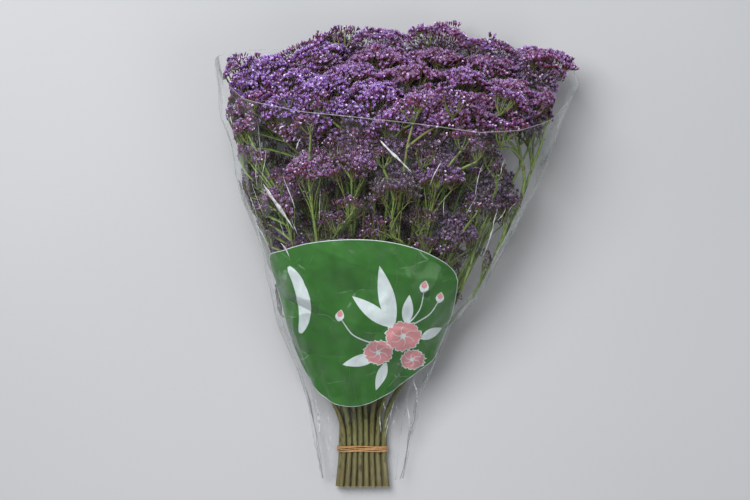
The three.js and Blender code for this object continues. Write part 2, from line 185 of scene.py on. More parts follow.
@dataclass(frozen=True)
class Finish:
    """A finish of the bunch: a material of its own, built once."""

    name: str

    def material(self) -> bpy.types.Material:
        """Gives the finish's material."""
        made = bpy.data.materials.get(self.name)
        if made is None:
            made = bpy.data.materials.new(self.name)
            made.use_nodes = True
            made.node_tree.nodes.clear()
            node = partial(add_node, made.node_tree)
            node("ShaderNodeOutputMaterial", (self.shader(node),))
        return made

    def shader(self, node: Adder) -> Socket:
        """Builds the nodes and gives the shader's output."""
        raise NotImplementedError

    @staticmethod
    def speckle(node: Adder, size_mm: Sequence[float], detail: float = 2.0) -> Socket:
        """Gives noise on the object's own coordinates, with the size of its grain along X, Y and Z."""
        place = node("ShaderNodeTexCoord")["Object"]
        scale = tuple(1 / (size * MM) for size in size_mm)
        place = node("ShaderNodeMapping", {"Vector": place, "Scale": scale})[0]
        return node("ShaderNodeTexNoise", {"Vector": place, "Scale": 1.0, "Detail": detail})["Fac"]

    @staticmethod
    def facets(node: Adder, size_mm: Sequence[float]) -> tuple[Socket, Socket]:
        """Gives the height of flat facets, each tilted its own way, and the distance to the next crease."""
        place = node("ShaderNodeTexCoord")["Object"]
        warp = node("ShaderNodeTexNoise", {"Vector": place, "Scale": 14.0, "Detail": 1.0})["Color"]
        place = node("ShaderNodeVectorMath", (warp, (0.05, 0.05, 0.05), place), operation="MULTIPLY_ADD")[0]
        scale = tuple(1 / (size * MM) for size in size_mm)
        place = node("ShaderNodeMapping", {"Vector": place, "Scale": scale, "Rotation": (0.0, 0.0, 0.5)})[0]
        cells = node("ShaderNodeTexVoronoi", {"Vector": place, "Scale": 1.0})
        offset = node("ShaderNodeVectorMath", (place, cells["Position"]), operation="SUBTRACT")[0]
        tilt = node("ShaderNodeVectorMath", (cells["Color"], (0.5, 0.5, 0.5)), operation="SUBTRACT")[0]
        height = node("ShaderNodeVectorMath", (offset, tilt), operation="DOT_PRODUCT")["Value"]
        edge = node("ShaderNodeTexVoronoi", {"Vector": place, "Scale": 1.0}, feature="DISTANCE_TO_EDGE")
        return height, edge["Distance"]

    @staticmethod
    def coats(node: Adder, colour: Any, *coats: tuple[str, Any, Any]) -> Any:
        """Lays coats over a colour, each with its way of blending, its share and its own colour."""
        for way, share, top in coats:
            inputs = {0: share, 6: colour, 7: top}
            colour = node("ShaderNodeMix", inputs, data_type="RGBA", blend_type=way)[2]
        return colour


@dataclass(frozen=True)
class FloretFinish(Finish):
    """Papery statice calyx and corolla: matt, violet over dark red, with no gloss; painted shade darkens
    each part's foot, painted highlights whiten its tips, and fine random mottling adds painted light and
    shade.
    """

    name: str = "statice_papery_floret"
    # From a part's foot to its tip: the near-black lowest stops are painted shade deep in the plate over
    # the calyx's own dark red, and the palest stops are painted highlights over the petals' pale rims.
    violet: Stops = (
        (0.08, "#1f1e10"), (0.28, "#340e16"), (0.47, "#6d1936"), (0.57, "#5a2674"), (0.76, "#8b5abf"),
        (0.88, "#c8a5e8"), (1.0, "#fbf6ff"),
    )
    rosy: Stops = (
        (0.08, "#23220d"), (0.28, "#3c1312"), (0.46, "#741d30"), (0.6, "#763263"), (0.82, "#9467a6"),
        (1.0, "#ead6e8"),
    )
    faded: Stops = (
        (0.08, "#2c2b15"), (0.28, "#33201a"), (0.46, "#3b211f"), (0.62, "#3e3136"), (0.85, "#675c6a"),
        (1.0, "#b4aca2"),
    )

    def shader(self, node: Adder) -> Socket:
        """Builds the papery look from the floret's own zones, dark at each part's foot as painted shade and
        pale at its tips as painted highlight; a tint over 1 fades it.
        """
        part, tint = (node("ShaderNodeAttribute", attribute_name=name)["Fac"] for name in ("part", "tint"))
        violet, rosy, faded = (
            node("ShaderNodeValToRGB", (part,), stops)[0] for stops in (self.violet, self.rosy, self.faded)
        )
        folded = node("ShaderNodeMath", (tint, 1.0), operation="PINGPONG")[0]
        patchy = node("ShaderNodeMath", (folded, self.speckle(node, (26, 26, 26))), operation="ADD")[0]
        # fine random mottling that is also painted light and shade: it multiplies the colour from black to
        # nearly twice as bright
        mottle_and_painted_light = self.speckle(node, (4.4, 4.4, 4.4), 1.0)
        colour = self.coats(
            node,
            violet,
            ("MIX", node("ShaderNodeMapRange", (patchy, 0.85, 1.5))[0], rosy),
            ("MIX", node("ShaderNodeMapRange", (tint, 1.0, 2.0))[0], faded),
            ("MULTIPLY", 1.0, node("ShaderNodeMapRange", (mottle_and_painted_light, 0.32, 0.68, 0.0, 1.86))[0]),
        )
        look = {"Base Color": colour, "Roughness": 0.8, "Sheen Weight": 0.15}
        return node("ShaderNodeBsdfPrincipled", look)[0]


@dataclass(frozen=True)
class StalkFinish(Finish):
    """Drying green stem: matt, ribbed, olive low down, fresher above and pale where it is cut; a tint over
    1 darkens it towards black as painted shade inside the heads.
    """

    name: str = "statice_dried_green_stem"
    heights: Stops = (
        (0.0, "#6d6540"), (0.2, "#747745"), (0.45, "#728745"), (0.7, "#769148"), (1.0, "#7a8744"),
    )
    foot: float = -0.4
    top: float = 0.26

    def shader(self, node: Adder) -> Socket:
        """Builds the streaked green, from the foot of the bunch to its twigs."""
        along = node("ShaderNodeSeparateXYZ", (node("ShaderNodeTexCoord")["Object"],))["Y"]
        height = node("ShaderNodeMapRange", (along, self.foot, self.top))[0]
        tint = node("ShaderNodeAttribute", attribute_name="tint")["Fac"]
        streaks = self.speckle(node, (1.6, 26, 1.6), 4.0)
        blotches = self.speckle(node, (7, 13, 7), 3.0)
        cut = (along, self.foot + 0.0002, self.foot + 0.0008, 1.0, 0.0)
        colour = self.coats(
            node,
            node("ShaderNodeValToRGB", (height,), self.heights)[0],
            ("MIX", node("ShaderNodeMapRange", (tint, 0.4, 1.0))[0], linear("#6f6538")),
            # a tint over 1, which only the cymes' twigs inside the heads get, darkens them towards black:
            # painted shade over their brown
            ("MIX", node("ShaderNodeMapRange", (tint, 1.0, 2.0))[0], linear("#22120d")),
            ("MULTIPLY", 1.0, node("ShaderNodeMapRange", (streaks, 0.3, 0.7, 0.6, 1.35))[0]),
            ("MIX", node("ShaderNodeMapRange", (blotches, 0.56, 0.7))[0], linear("#4a3b28")),
            ("MIX", node("ShaderNodeMapRange", cut)[0], linear("#b9b384")),
        )
        bump = node("ShaderNodeBump", {"Height": streaks, "Strength": 0.6, "Distance": 0.0006})[0]
        look = {"Base Color": colour, "Roughness": 0.62, "Normal": bump}
        return node("ShaderNodeBsdfPrincipled", look)[0]


@dataclass(frozen=True)
class RubberFinish(Finish):
    """Natural rubber band: satin, tan, a little dusty."""

    name: str = "natural_rubber"
    dust: Stops = ((0.3, "#a87c48"), (0.55, "#b98d58"), (0.8, "#c9a57a"))

    def shader(self, node: Adder) -> Socket:
        """Builds the tan with its dust and its fine grain."""
        colour = node("ShaderNodeValToRGB", (self.speckle(node, (5, 5, 5), 4.0),), self.dust)[0]
        grain = self.speckle(node, (0.5, 0.5, 0.5), 2.0)
        bump = node("ShaderNodeBump", {"Height": grain, "Strength": 0.3, "Distance": 0.0002})[0]
        look = {"Base Color": colour, "Roughness": 0.55, "Normal": bump}
        return node("ShaderNodeBsdfPrincipled", look)[0]


@dataclass(frozen=True)
class PlasticFinish(Finish):
    """Polypropylene film: thin and glossy, so most of what lies behind it shows."""

    tone: str
    roughness: float

    def over_clear(self, node: Adder, share: Socket, **more: Any) -> Socket:
        """Lays a share of the plastic over what is clear."""
        look = {"Base Color": linear(self.tone), "Roughness": self.roughness, "IOR": 1.49, **more}
        film = node("ShaderNodeBsdfPrincipled", look)[0]
        clear = node("ShaderNodeBsdfTransparent")[0]
        return node("ShaderNodeMixShader", (share, clear, film))[0]


@dataclass(frozen=True)
class FilmFinish(PlasticFinish):
    """Clear polypropylene film: blown, almost invisible flat on, brighter at grazing angles, with a painted
    highlight along its rim and painted sheen in hazy patches.
    """

    name: str = "clear_polypropylene_film"
    tone: str = "#dfe4e6"
    roughness: float = 0.12
    veil: float = 0.002
    grazing: float = 0.75

    def shader(self, node: Adder) -> Socket:
        """Builds a glossy film over a clear one, glossier at grazing angles, with more of it at the rim as
        a painted highlight and in patches as painted sheen.
        """
        # rim is 1 on the film's top ring: more white plastic there, a painted highlight along the cut edge
        rim = node("ShaderNodeAttribute", attribute_name="rim")["Fac"]
        # patches of more white plastic: a little milky haze and painted sheen
        haze_and_painted_sheen = self.speckle(node, (34, 60, 34), 3.0)
        haze_and_painted_sheen = node("ShaderNodeMapRange", (haze_and_painted_sheen, 0.5, 0.8, 0.0, 0.02))[0]
        facet, _ = self.facets(node, (26, 70, 26))
        folded = node("ShaderNodeBump", {"Height": facet, "Strength": 1.0, "Distance": 0.014})[0]
        facing = node("ShaderNodeLayerWeight", {"Blend": 0.28, "Normal": folded})["Facing"]
        facing = node("ShaderNodeMath", (facing, 3.0), operation="POWER")[0]
        share = node("ShaderNodeMath", (facing, self.grazing, self.veil), operation="MULTIPLY_ADD")[0]
        share = node("ShaderNodeMath", (share, haze_and_painted_sheen), operation="ADD")[0]
        share = node("ShaderNodeMath", (rim, 0.3, share), operation="MULTIPLY_ADD", use_clamp=True)[0]
        wrinkle = self.speckle(node, (9, 22, 9), 3.0)
        inputs = {"Height": wrinkle, "Strength": 0.5, "Distance": 0.001, "Normal": folded}
        return self.over_clear(node, share, Normal=node("ShaderNodeBump", inputs)[0])


@dataclass(frozen=True)
class PaintedGlintFinish(PlasticFinish):
    """Painted glints on the film: the same plastic, made milky white in thin slivers that stand for light
    caught on its creases.
    """

    name: str = "creased_polypropylene_film"
    tone: str = "#eef1f3"
    roughness: float = 0.2

    def shader(self, node: Adder) -> Socket:
        """Builds the milky, glossy sliver of painted glint."""
        milky = self.speckle(node, (6, 6, 6))
        return self.over_clear(node, node("ShaderNodeMapRange", (milky, 0.35, 0.6, 0.25, 0.75))[0])


@dataclass(frozen=True)
class InkFinish(Finish):
    """Printing ink on film: flat and even, half gloss, paler along the film's creases, as ink worn thin
    there and as painted glints on the creases.
    """

    colour: str = "#2c6b3a"
    worn_ink_and_glint: str = "#8fb08f"

    def shader(self, node: Adder) -> Socket:
        """Builds the ink, with the light and dark of the creased film and painted glints along its creases.
        """
        thin = self.speckle(node, (16, 30, 16), 4.0)
        facet, edge = self.facets(node, (96, 40, 60))
        crumpled = node("ShaderNodeMapRange", (self.speckle(node, (80, 80, 80)), 0.42, 0.54))[0]
        broken = node("ShaderNodeMapRange", (self.speckle(node, (24, 24, 24)), 0.5, 0.62))[0]
        # paler along the facets' edges where crumpled: ink worn thin, and painted glints on the creases
        crease = node("ShaderNodeMapRange", (edge, 0.0, 0.02, 0.6, 0.0))[0]
        for share in (broken, crumpled):
            crease = node("ShaderNodeMath", (crease, share), operation="MULTIPLY")[0]
        colour = self.coats(
            node,
            linear(self.colour),
            ("MULTIPLY", 1.0, node("ShaderNodeMapRange", (thin, 0.3, 0.7, 0.86, 1.1))[0]),
            ("MIX", crease, linear(self.worn_ink_and_glint)),
        )
        bump = node("ShaderNodeBump", {"Height": facet, "Strength": crumpled, "Distance": 0.028})[0]
        inputs = {"Height": thin, "Strength": 0.4, "Distance": 0.001, "Normal": bump}
        bump = node("ShaderNodeBump", inputs)[0]
        look = {"Base Color": colour, "Roughness": 0.27, "Normal": bump}
        return node("ShaderNodeBsdfPrincipled", look)[0]


@dataclass(frozen=True)
class BackdropFinish(Finish):
    """Matt studio paper: an even pale grey with no gloss."""

    name: str = "matt_studio_paper"
    greys: Stops = ((0.3, "#babcbe"), (0.7, "#c1c2c5"))

    def shader(self, node: Adder) -> Socket:
        """Builds the pale grey."""
        colour = node("ShaderNodeValToRGB", (self.speckle(node, (900, 900, 900)),), self.greys)[0]
        look = {"Base Color": colour, "Roughness": 0.95, "Specular IOR Level": 0.1}
        return node("ShaderNodeBsdfPrincipled", look)[0]


FLORET = FloretFinish()
STALK = StalkFinish()
RUBBER = RubberFinish()
FILM = FilmFinish()
# painted glints: milky slivers that stand for light caught on the film
PAINTED_GLINT = PaintedGlintFinish()
GREEN_INK = InkFinish("green_printing_ink", "#346b2a")
WHITE_INK = InkFinish("white_printing_ink", "#cfdbdc", "#e8efef")
PINK_INK = InkFinish("pink_printing_ink", "#cf8f92", "#e3bcbc")


def make_object(name: str, mesh: Mesh) -> Object:
    """Puts a mesh into the scene as an object at the origin."""
    made = bpy.data.objects.new(name, mesh)
    bpy.context.scene.collection.objects.link(made)
    return made


def make_piece(name: str, points: Array, faces: Sequence, *finishes: Finish, wall: float = 0.0) -> Object:
    """Makes a smooth piece.

    Args:
        name: the piece's name.
        points: its points in bunch millimetres.
        faces: the numbers of each face's points.
        *finishes: its finishes, the first one for faces that don't say otherwise.
        wall: the thickness in millimetres that its faces get, half of it on each side.

    Returns:
        The piece, at the origin.
    """
    made = bpy.data.meshes.new(name)
    made.from_pydata(to_frame(points).tolist(), [], faces)
    for finish in finishes:
        made.materials.append(finish.material())
    made.shade_smooth()
    piece = make_object(name, made)
    if wall:
        modifier = piece.modifiers.new("wall", "SOLIDIFY")
        modifier.thickness = wall * MM
        modifier.offset = 0
    return piece


# Where things stand in the bunch


class Tier(Enum):
    """The two layers of heads."""

    CROWN = "crown"
    SKIRT = "skirt"


class Table:
    """Rows of numbers whose first column rises, read on straight lines between them."""

    def __init__(self, *rows: Sequence[float]) -> None:
        """Keeps the columns."""
        self.columns = np.array(rows, float).T

    def at(self, value: Any) -> list[Array]:
        """Gives the other columns at a value of the first."""
        return [np.interp(value, self.columns[0], column) for column in self.columns[1:]]


@dataclass(frozen=True)
class BunchForm:
    """The space that the flowers and stems fill, and how fractions of it become places.

    The form's rows give a height with the half width, the half depth and the middle there.
    """

    form: Table = Table(
        (0, 46, 28, 0), (58, 44, 26, 0), (140, 68, 44, -3), (250, 122, 82, 5), (355, 170, 114, 28),
        (450, 208, 138, 35), (552, 240, 154, 46), (600, 254, 159, 50), (640, 268, 163, 59),
        (700, 280, 166, 64),
    )
    crown_spread: Table = Table((492, 0.6), (530, 0.82), (560, 0.95), (590, 1))
    flat: float = 0.8
    lift: float = 1.6
    crown_hub: float = -0.35
    crown_drawn: float = 0.6
    skirt_inside: float = 0.69
    ref_width: float = 262
    ref_depth: float = 162
    opening: Table = Table(
        (240, 100), (274, 126), (318, 148), (355, 166), (384, 186), (412, 208), (420, 400), (452, 400),
        (460, 206), (530, 214), (545, 400),
    )

    def is_open(self, point: Array) -> bool:
        """Says whether a point lies in the gaps of the bunch's right side, where only stems stand."""
        return bool(point[0] > self.opening.at(point[1])[0])

    def place(self, across: Any, front: Any, y: Any, tier: Tier) -> Array:
        """Gives the place of a point.

        Args:
            across: its fraction of the half width.
            front: its fraction of the half depth.
            y: its height from the cut ends.
            tier: the layer of heads that it belongs to.

        Returns:
            The point in bunch millimetres.
        """
        half_width, half_depth, middle = self.form.at(y)
        spread = 1.0
        if tier is Tier.CROWN:
            spread = self.crown_spread.at(y)[0]
            front = self.crown_hub + spread * (front - self.crown_hub)
        x = middle + spread * across * half_width
        return np.array([x, y, self.lift + half_depth * (self.flat + front)], float)

    def fractions(self, point: Array) -> tuple[float, float]:
        """Gives the fractions across and to the front at which a point stands."""
        half_width, half_depth, middle = self.form.at(point[1])
        across = (point[0] - middle) / half_width
        return float(across), float((point[2] - self.lift) / half_depth - self.flat)


@dataclass(frozen=True)
class SprayPlan:
    """A spray: its name, its heads as [across, front, y], and the heights where branches leave the stem."""

    name: str
    heads: tuple[Place, ...]
    forks: tuple[float, ...]

    @property
    def tier(self) -> Tier:
        """Gives the layer that its heads belong to."""
        return Tier(self.name.split("_")[0])


SPRAYS = (
    SprayPlan("crown_1", ((-0.43, 0.5, 590), (-0.7, 0.5, 562), (-0.36, 0.82, 550)), (250, 330)),
    SprayPlan("crown_2", ((-0.13, 0.56, 582), (0.02, 0.86, 541)), (318,)),
    SprayPlan("crown_3", ((0.18, 0.54, 570), (0.4, 0.8, 540), (0.5, 0.5, 560)), (300, 225)),
    SprayPlan("crown_4", ((-0.58, 0.2, 606), (-0.86, 0.2, 598)), (270,)),
    SprayPlan("crown_5", ((-0.26, 0.22, 615), (0.08, 0.23, 612)), (340,)),
    SprayPlan("crown_6", ((0.66, 0.28, 588), (0.38, 0.22, 606), (0.89, 0.13, 574)), (340, 210)),
    SprayPlan("crown_7", ((-0.75, -0.1, 630), (-0.72, -0.42, 628)), (300,)),
    SprayPlan("crown_8", ((-0.46, -0.1, 650), (-0.42, -0.4, 662), (-0.5, -0.68, 632)), (350, 190)),
    SprayPlan("crown_9", ((-0.13, -0.06, 642), (-0.15, -0.36, 676), (-0.17, -0.67, 650)), (290, 160)),
    SprayPlan("crown_10", ((0.2, -0.34, 681), (0.19, -0.04, 640), (0.16, -0.66, 656)), (360, 210)),
    SprayPlan(
        "crown_11",
        ((0.49, -0.1, 630), (0.48, -0.4, 662), (0.47, -0.69, 640), (0.83, -0.18, 641), (0.75, -0.48, 650)),
        (330, 175, 290, 225),
    ),
    SprayPlan("skirt_1", ((-0.86, 0.08, 372), (-0.74, 0.42, 440), (-0.84, -0.26, 455)), (200, 170)),
    SprayPlan("skirt_2", ((-0.53, 0.64, 478), (-0.24, 0.79, 482)), (330,)),
    SprayPlan("skirt_3", ((0.34, 0.76, 470), (0.06, 0.83, 452)), (320,)),
    SprayPlan("skirt_4", ((0.6, 0.58, 385), (0.78, 0.3, 436)), (230,)),
    SprayPlan("skirt_5", ((0.85, -0.04, 424), (0.82, -0.34, 462)), (240,)),
)


@dataclass(frozen=True)
class HeadPlan:
    """Where a head stands and how it leans."""

    name: str
    spray: int
    tier: Tier
    across: float
    front: float
    y: float
    seed: int
    lean_back: float = 0.3
    lean_out: float = 0.3
    dome: float = 9

    def lean(self) -> tuple[float, float]:
        """Gives the plate's rise per millimetre across and to the front."""
        return -self.lean_out * self.across, -self.lean_back - self.lean_out * max(0.0, self.front)

    def rise(self, dx: float, dz: float, share: float) -> float:
        """Gives the plate's height over its middle, at an offset and its share of the way to the rim."""
        lean_x, lean_z = self.lean()
        return lean_x * dx + lean_z * dz - self.dome * share * share


@dataclass
class Layout:
    """All heads with the room that each has."""

    form: BunchForm = field(default_factory=BunchForm)
    head_margin: float = 1.3
    edge_margin: float = 3
    head_reach: float = 66

    def __post_init__(self) -> None:
        """Lists the heads."""
        self.heads = [
            HeadPlan(f"{spray.name}_head_{index + 1}", number - 1, spray.tier, *head, 100 * number + index)
            for number, spray in enumerate(SPRAYS, 1)
            for index, head in enumerate(spray.heads)
        ]

    def at(self, head: HeadPlan, dx: float, dz: float, rise: float) -> Array:
        """Gives the place of a point of a head, at an offset from its middle."""
        across, front = head.across + dx / self.form.ref_width, head.front + dz / self.form.ref_depth
        return self.form.place(across, front, head.y + rise, head.tier)

    def reach(self, head: HeadPlan, angle: float) -> float:
        """Gives how far a head goes in one direction before it meets its neighbours or the bunch's edge."""
        form = self.form
        dx, dz = math.cos(angle), math.sin(angle)
        x, z = head.across * form.ref_width, head.front * form.ref_depth
        free = self.head_reach
        for other in self.heads:
            if other is head or other.tier is not head.tier:
                continue
            ox, oz = other.across * form.ref_width - x, other.front * form.ref_depth - z
            gap = math.hypot(ox, oz)
            toward = (dx * ox + dz * oz) / gap
            if toward > 1e-6:
                free = min(free, (gap / 2 - self.head_margin) / toward)
        du, dv = dx / form.ref_width, dz / form.ref_depth
        free = min(free, self.to_circle(head.across, head.front, du, dv, 1, True) - self.edge_margin)
        if dv < 0:
            free = min(free, (-form.flat - head.front) / dv - self.head_margin)
        if head.tier is Tier.SKIRT:
            middle = form.crown_hub * (1 - form.crown_drawn)
            inner = self.to_circle(head.across, head.front - middle, du, dv, form.skirt_inside, False)
            free = min(free, inner - self.head_margin)
        return free

    @staticmethod
    def to_circle(u: float, v: float, du: float, dv: float, radius: float, is_inside: bool) -> float:
        """Gives the distance to a circle round the origin: its far side from within, else its near side."""
        a = du * du + dv * dv
        b = u * du + v * dv
        root = b * b - a * (u * u + v * v - radius * radius)
        if root < 0:
            return math.inf
        distance = (-b + (1 if is_inside else -1) * math.sqrt(root)) / a
        return math.inf if distance < 0 else distance


@dataclass(frozen=True)
class SleeveForm:
    """The film's shape: a cone with a flat back, an uneven rim and soft creases.

    The form's rows give a height with the half width, the half depth and the middle there, and the rim's
    rows give its height at a place round the film. A crease has its turn, length, phase, facet and height.
    """

    form: Table = Table(
        (14, 62, 28, 0), (80, 73, 35, 0), (140, 86, 51, 0), (172, 97, 62, 3), (250, 132, 90, 6),
        (290, 153, 104, 19), (355, 179, 122, 30), (450, 218, 146, 35), (552, 249, 161, 46),
        (620, 268, 168, 53), (650, 277, 171, 59), (676, 281, 172, 62),
    )
    rim: Table = Table(
        (-54, 668), (-30, 655), (0, 600), (12, 575), (25, 549), (42, 531), (60, 526), (90, 540), (120, 554),
        (150, 578), (180, 640), (212, 665), (234, 672),
    )
    foot: float = 14
    flat: float = 0.8
    middle_wall: float = 0.5
    lowest: float = 3.5
    highest: float = 288
    first_degree: float = -54
    press_from: float = 0.86
    tip_lowest: float = 3.0
    part_reach: float = 10
    steepest_dip: float = -0.97
    mean_radius: float = 120
    broad_depths: tuple[float, float] = (1.7, 1.1)
    pleat_depth: float = 2.4
    pleats_below: float = 300
    fine_depth: float = 0.55
    lip_depth: float = 2.1
    lip_length: float = 70
    crease_width: float = 9
    most_ripple: float = 4.0
    creases: Rows = (
        (0.35, 92, 0.1, 3.4, 1.3), (1.1, 118, 0.43, 4.0, -1.2), (-0.7, 104, 0.77, 3.8, 1.4),
        (2.6, 64, 0.27, 2.0, -1.0), (1.9, 77, 0.61, 2.2, 1.2),
    )

    def rim_at(self, degrees: Any) -> Array:
        """Gives the rim's height at places round the film, which may be counted on to 360 degrees."""
        return self.rim.at(np.where(np.asarray(degrees) > 270, np.asarray(degrees) - 360, degrees))[0]

    def surface(self, degrees: Any, across: Any, front: Any, y: Any, inset: float = 0.0) -> Array:
        """Gives points of the film.

        Args:
            degrees: the way round the section, from +X by way of the front.
            across: the point's fraction of the half width.
            front: its fraction of the half depth.
            y: its height from the cut ends.
            inset: how far inside the middle of the film's wall it lies.

        Returns:
            The points in bunch millimetres, one to a row.
        """
        half_width, half_depth, middle = self.form.at(y)
        wall = self.middle_wall + inset
        x = middle + (half_width - wall) * across
        z = half_depth * self.flat + (half_depth - wall) * front
        out_x, out_z = across / half_width, front / half_depth
        size = np.hypot(out_x, out_z) + 1e-9
        ripple = self.ripple(degrees, y) * smooth_step(4, 40, z)
        x = x + ripple * out_x / size
        z = np.maximum(z + ripple * out_z / size, wall)
        return np.stack([x, np.broadcast_to(y, np.shape(x)) + 0.0, z], -1)

    def ripple(self, degrees: Any, y: Any) -> Array:
        """Gives how far the film bulges out at a place."""
        a = np.radians(degrees)
        y = np.asarray(y, float)
        wide, narrow = self.broad_depths
        broad = wide * np.sin(3 * a + y / 95) * np.sin(y / 130 + 1.3) + narrow * np.sin(7 * a - y / 61 + 2)
        pleat = np.abs(np.sin(9.5 * a + 0.7 * np.sin(y / 70))) ** 0.6 * 2 - 1.3
        pleats = pleat * self.pleat_depth * smooth_step(self.pleats_below, 90, y)
        fine = self.fine_depth * np.sin(23 * a + 3 * np.sin(y / 43)) * np.sin(y / 19 + 4 * np.sin(2 * a))
        near_rim = smooth_step(-self.lip_length, 0, y - self.rim_at(degrees))
        lip = self.lip_depth * np.sin(13 * a + 1) * near_rim
        return broad + pleats + fine + lip + self.crumple(self.mean_radius * a, y)

    def crumple(self, s: Array, y: Array) -> Array:
        """Gives the sharp creases and flat facets of handled film, at a place round it and up it."""
        height = 0.0
        for turn, length, phase, facet, crease in self.creases:
            along = (s * math.cos(turn) + y * math.sin(turn)) / length + phase
            bend = 0.12 * np.sin((y * math.cos(turn) - s * math.sin(turn)) / 37 + 5 * phase)
            saw = np.abs((along + bend) % 1 - 0.5) * 2
            ridge = np.maximum(0, 1 - (1 - saw) * length / self.crease_width)
            patch = smooth_step(-0.35, 0.5, np.sin(s / 71 + 9 * phase) * np.cos(y / 83 + 4 * phase))
            height = height + patch * (facet * (saw - 0.5) + crease * ridge)
        return height

    def on_front(self, x: Array, y: Array, inset: float = 0.0) -> Array:
        """Gives the points of the film's front that lie over places across and along the bunch."""
        half_width, _, middle = self.form.at(y)
        across = np.clip((x - middle) / (half_width - self.middle_wall), -1, 1)
        front = np.sqrt(1 - across**2)
        return self.surface(np.degrees(np.arctan2(front, across)), across, front, y, inset)

    def tuck(self, points: Array, aims: Array, margin: float) -> tuple[Array, Array]:
        """Presses what grows into the sleeve.

        Args:
            points: points in bunch millimetres, one to a row.
            aims: the way that each point's small part goes.
            margin: how far inside the film the points stay.

        Returns:
            The points, moved only where they come near the film below its rim or the floor, and their aims,
            bent along the film and kept off the floor.
        """
        half_width, half_depth, middle = self.form.at(points[:, 1])
        x, z = points[:, 0] - middle, points[:, 2] - half_depth * self.flat
        degrees = np.degrees(np.arctan2(z / half_depth, x / half_width))
        degrees = np.where(degrees < self.first_degree, degrees + 360, degrees)
        margin = margin - np.minimum(self.ripple(degrees, points[:, 1]), self.most_ripple)
        u, v = x / (half_width - margin), z / (half_depth - margin)
        below = smooth_step(14, -8, points[:, 1] - self.rim.at(degrees)[0])
        out = np.hypot(u, v) + 1e-9
        start = self.press_from
        pressed = np.where(out > start, start + (1 - start) * np.tanh((out - start) / (1 - start)), out)
        share = 1 + (pressed / out - 1) * below
        x = middle + u * share * (half_width - margin)
        z = np.maximum(half_depth * self.flat + v * share * (half_depth - margin), self.lowest)
        outward = np.stack([u, u * 0, v], -1) / out[:, None]
        lean = np.maximum(0, (aims * outward).sum(-1)) * smooth_step(0.78, 0.95, out) * below
        aims = aims - outward * lean[:, None]
        aims = aims / (np.linalg.norm(aims, axis=1, keepdims=True) + 1e-9)
        dip = np.clip((self.tip_lowest - z) / self.part_reach, self.steepest_dip, 0.0)
        steepest = dip / np.sqrt(1 - dip**2) * np.hypot(aims[:, 0], aims[:, 1])
        aims[:, 2] = np.maximum(aims[:, 2], steepest)
        return np.stack([x, points[:, 1], np.minimum(z, self.highest)], -1), aims


# Growing things: stalks and florets


class Grown(IntEnum):
    """What a point of a growth is: a stalk's point, or the root of a small part."""

    RIBBED_STALK = -2
    STALK = -1
    OPEN = 0
    BUD = 1
    HUSK = 2
    BRACT = 3


@dataclass
class Growth:
    """Stalks and the roots of florets, gathered for one piece in bunch millimetres and kept in the sleeve.

    Each of its points has its kind, its thickness in metres or its part's size, its part's aim, and a tint.
    """

    margin: float = 6
    sleeve: SleeveForm = field(default_factory=SleeveForm)
    points: list[tuple[Array, Grown, float, Array, float]] = field(default_factory=list)
    edges: list[tuple[int, int]] = field(default_factory=list)

    def stalk(self, path: Iterable, radii: Iterable, tint: float, is_ribbed: bool = False) -> None:
        """Adds a stalk along a path, with a radius in millimetres at each of its points."""
        first = len(self.points)
        kind = Grown.RIBBED_STALK if is_ribbed else Grown.STALK
        for point, radius in zip(path, radii):
            self.points.append((point, kind, radius * MM, UP_THE_BUNCH, tint))
        self.edges += [(i, i + 1) for i in range(first, len(self.points) - 1)]

    def root(self, point: Array, aim: Array, kind: Grown, size: float, tint: float) -> None:
        """Adds the root of a small part that points along aim."""
        self.points.append((point, kind, size, unit(aim), tint))

    def mesh(self, name: str) -> Mesh:
        """Gives the growth as a mesh of points and edges with its attributes."""
        points, kinds, thick, aims, tints = (np.array(column) for column in zip(*self.points))
        points, aims = self.sleeve.tuck(points, aims, self.margin)
        made = bpy.data.meshes.new(name)
        made.vertices.add(len(points))
        made.vertices.foreach_set("co", to_frame(points).astype(np.float32).ravel())
        made.edges.add(len(self.edges))
        made.edges.foreach_set("vertices", np.array(self.edges, np.int32).ravel())
        for label, kind, holder, values in (
            ("kind", "INT", "value", kinds.astype(np.int32)),
            ("thick", "FLOAT", "value", thick.astype(np.float32)),
            ("tint", "FLOAT", "value", tints.astype(np.float32)),
            ("aim", "FLOAT_VECTOR", "vector", aims.astype(np.float32).ravel()),
        ):
            made.attributes.new(label, kind, "POINT").data.foreach_set(holder, values)
        made.update()
        return made


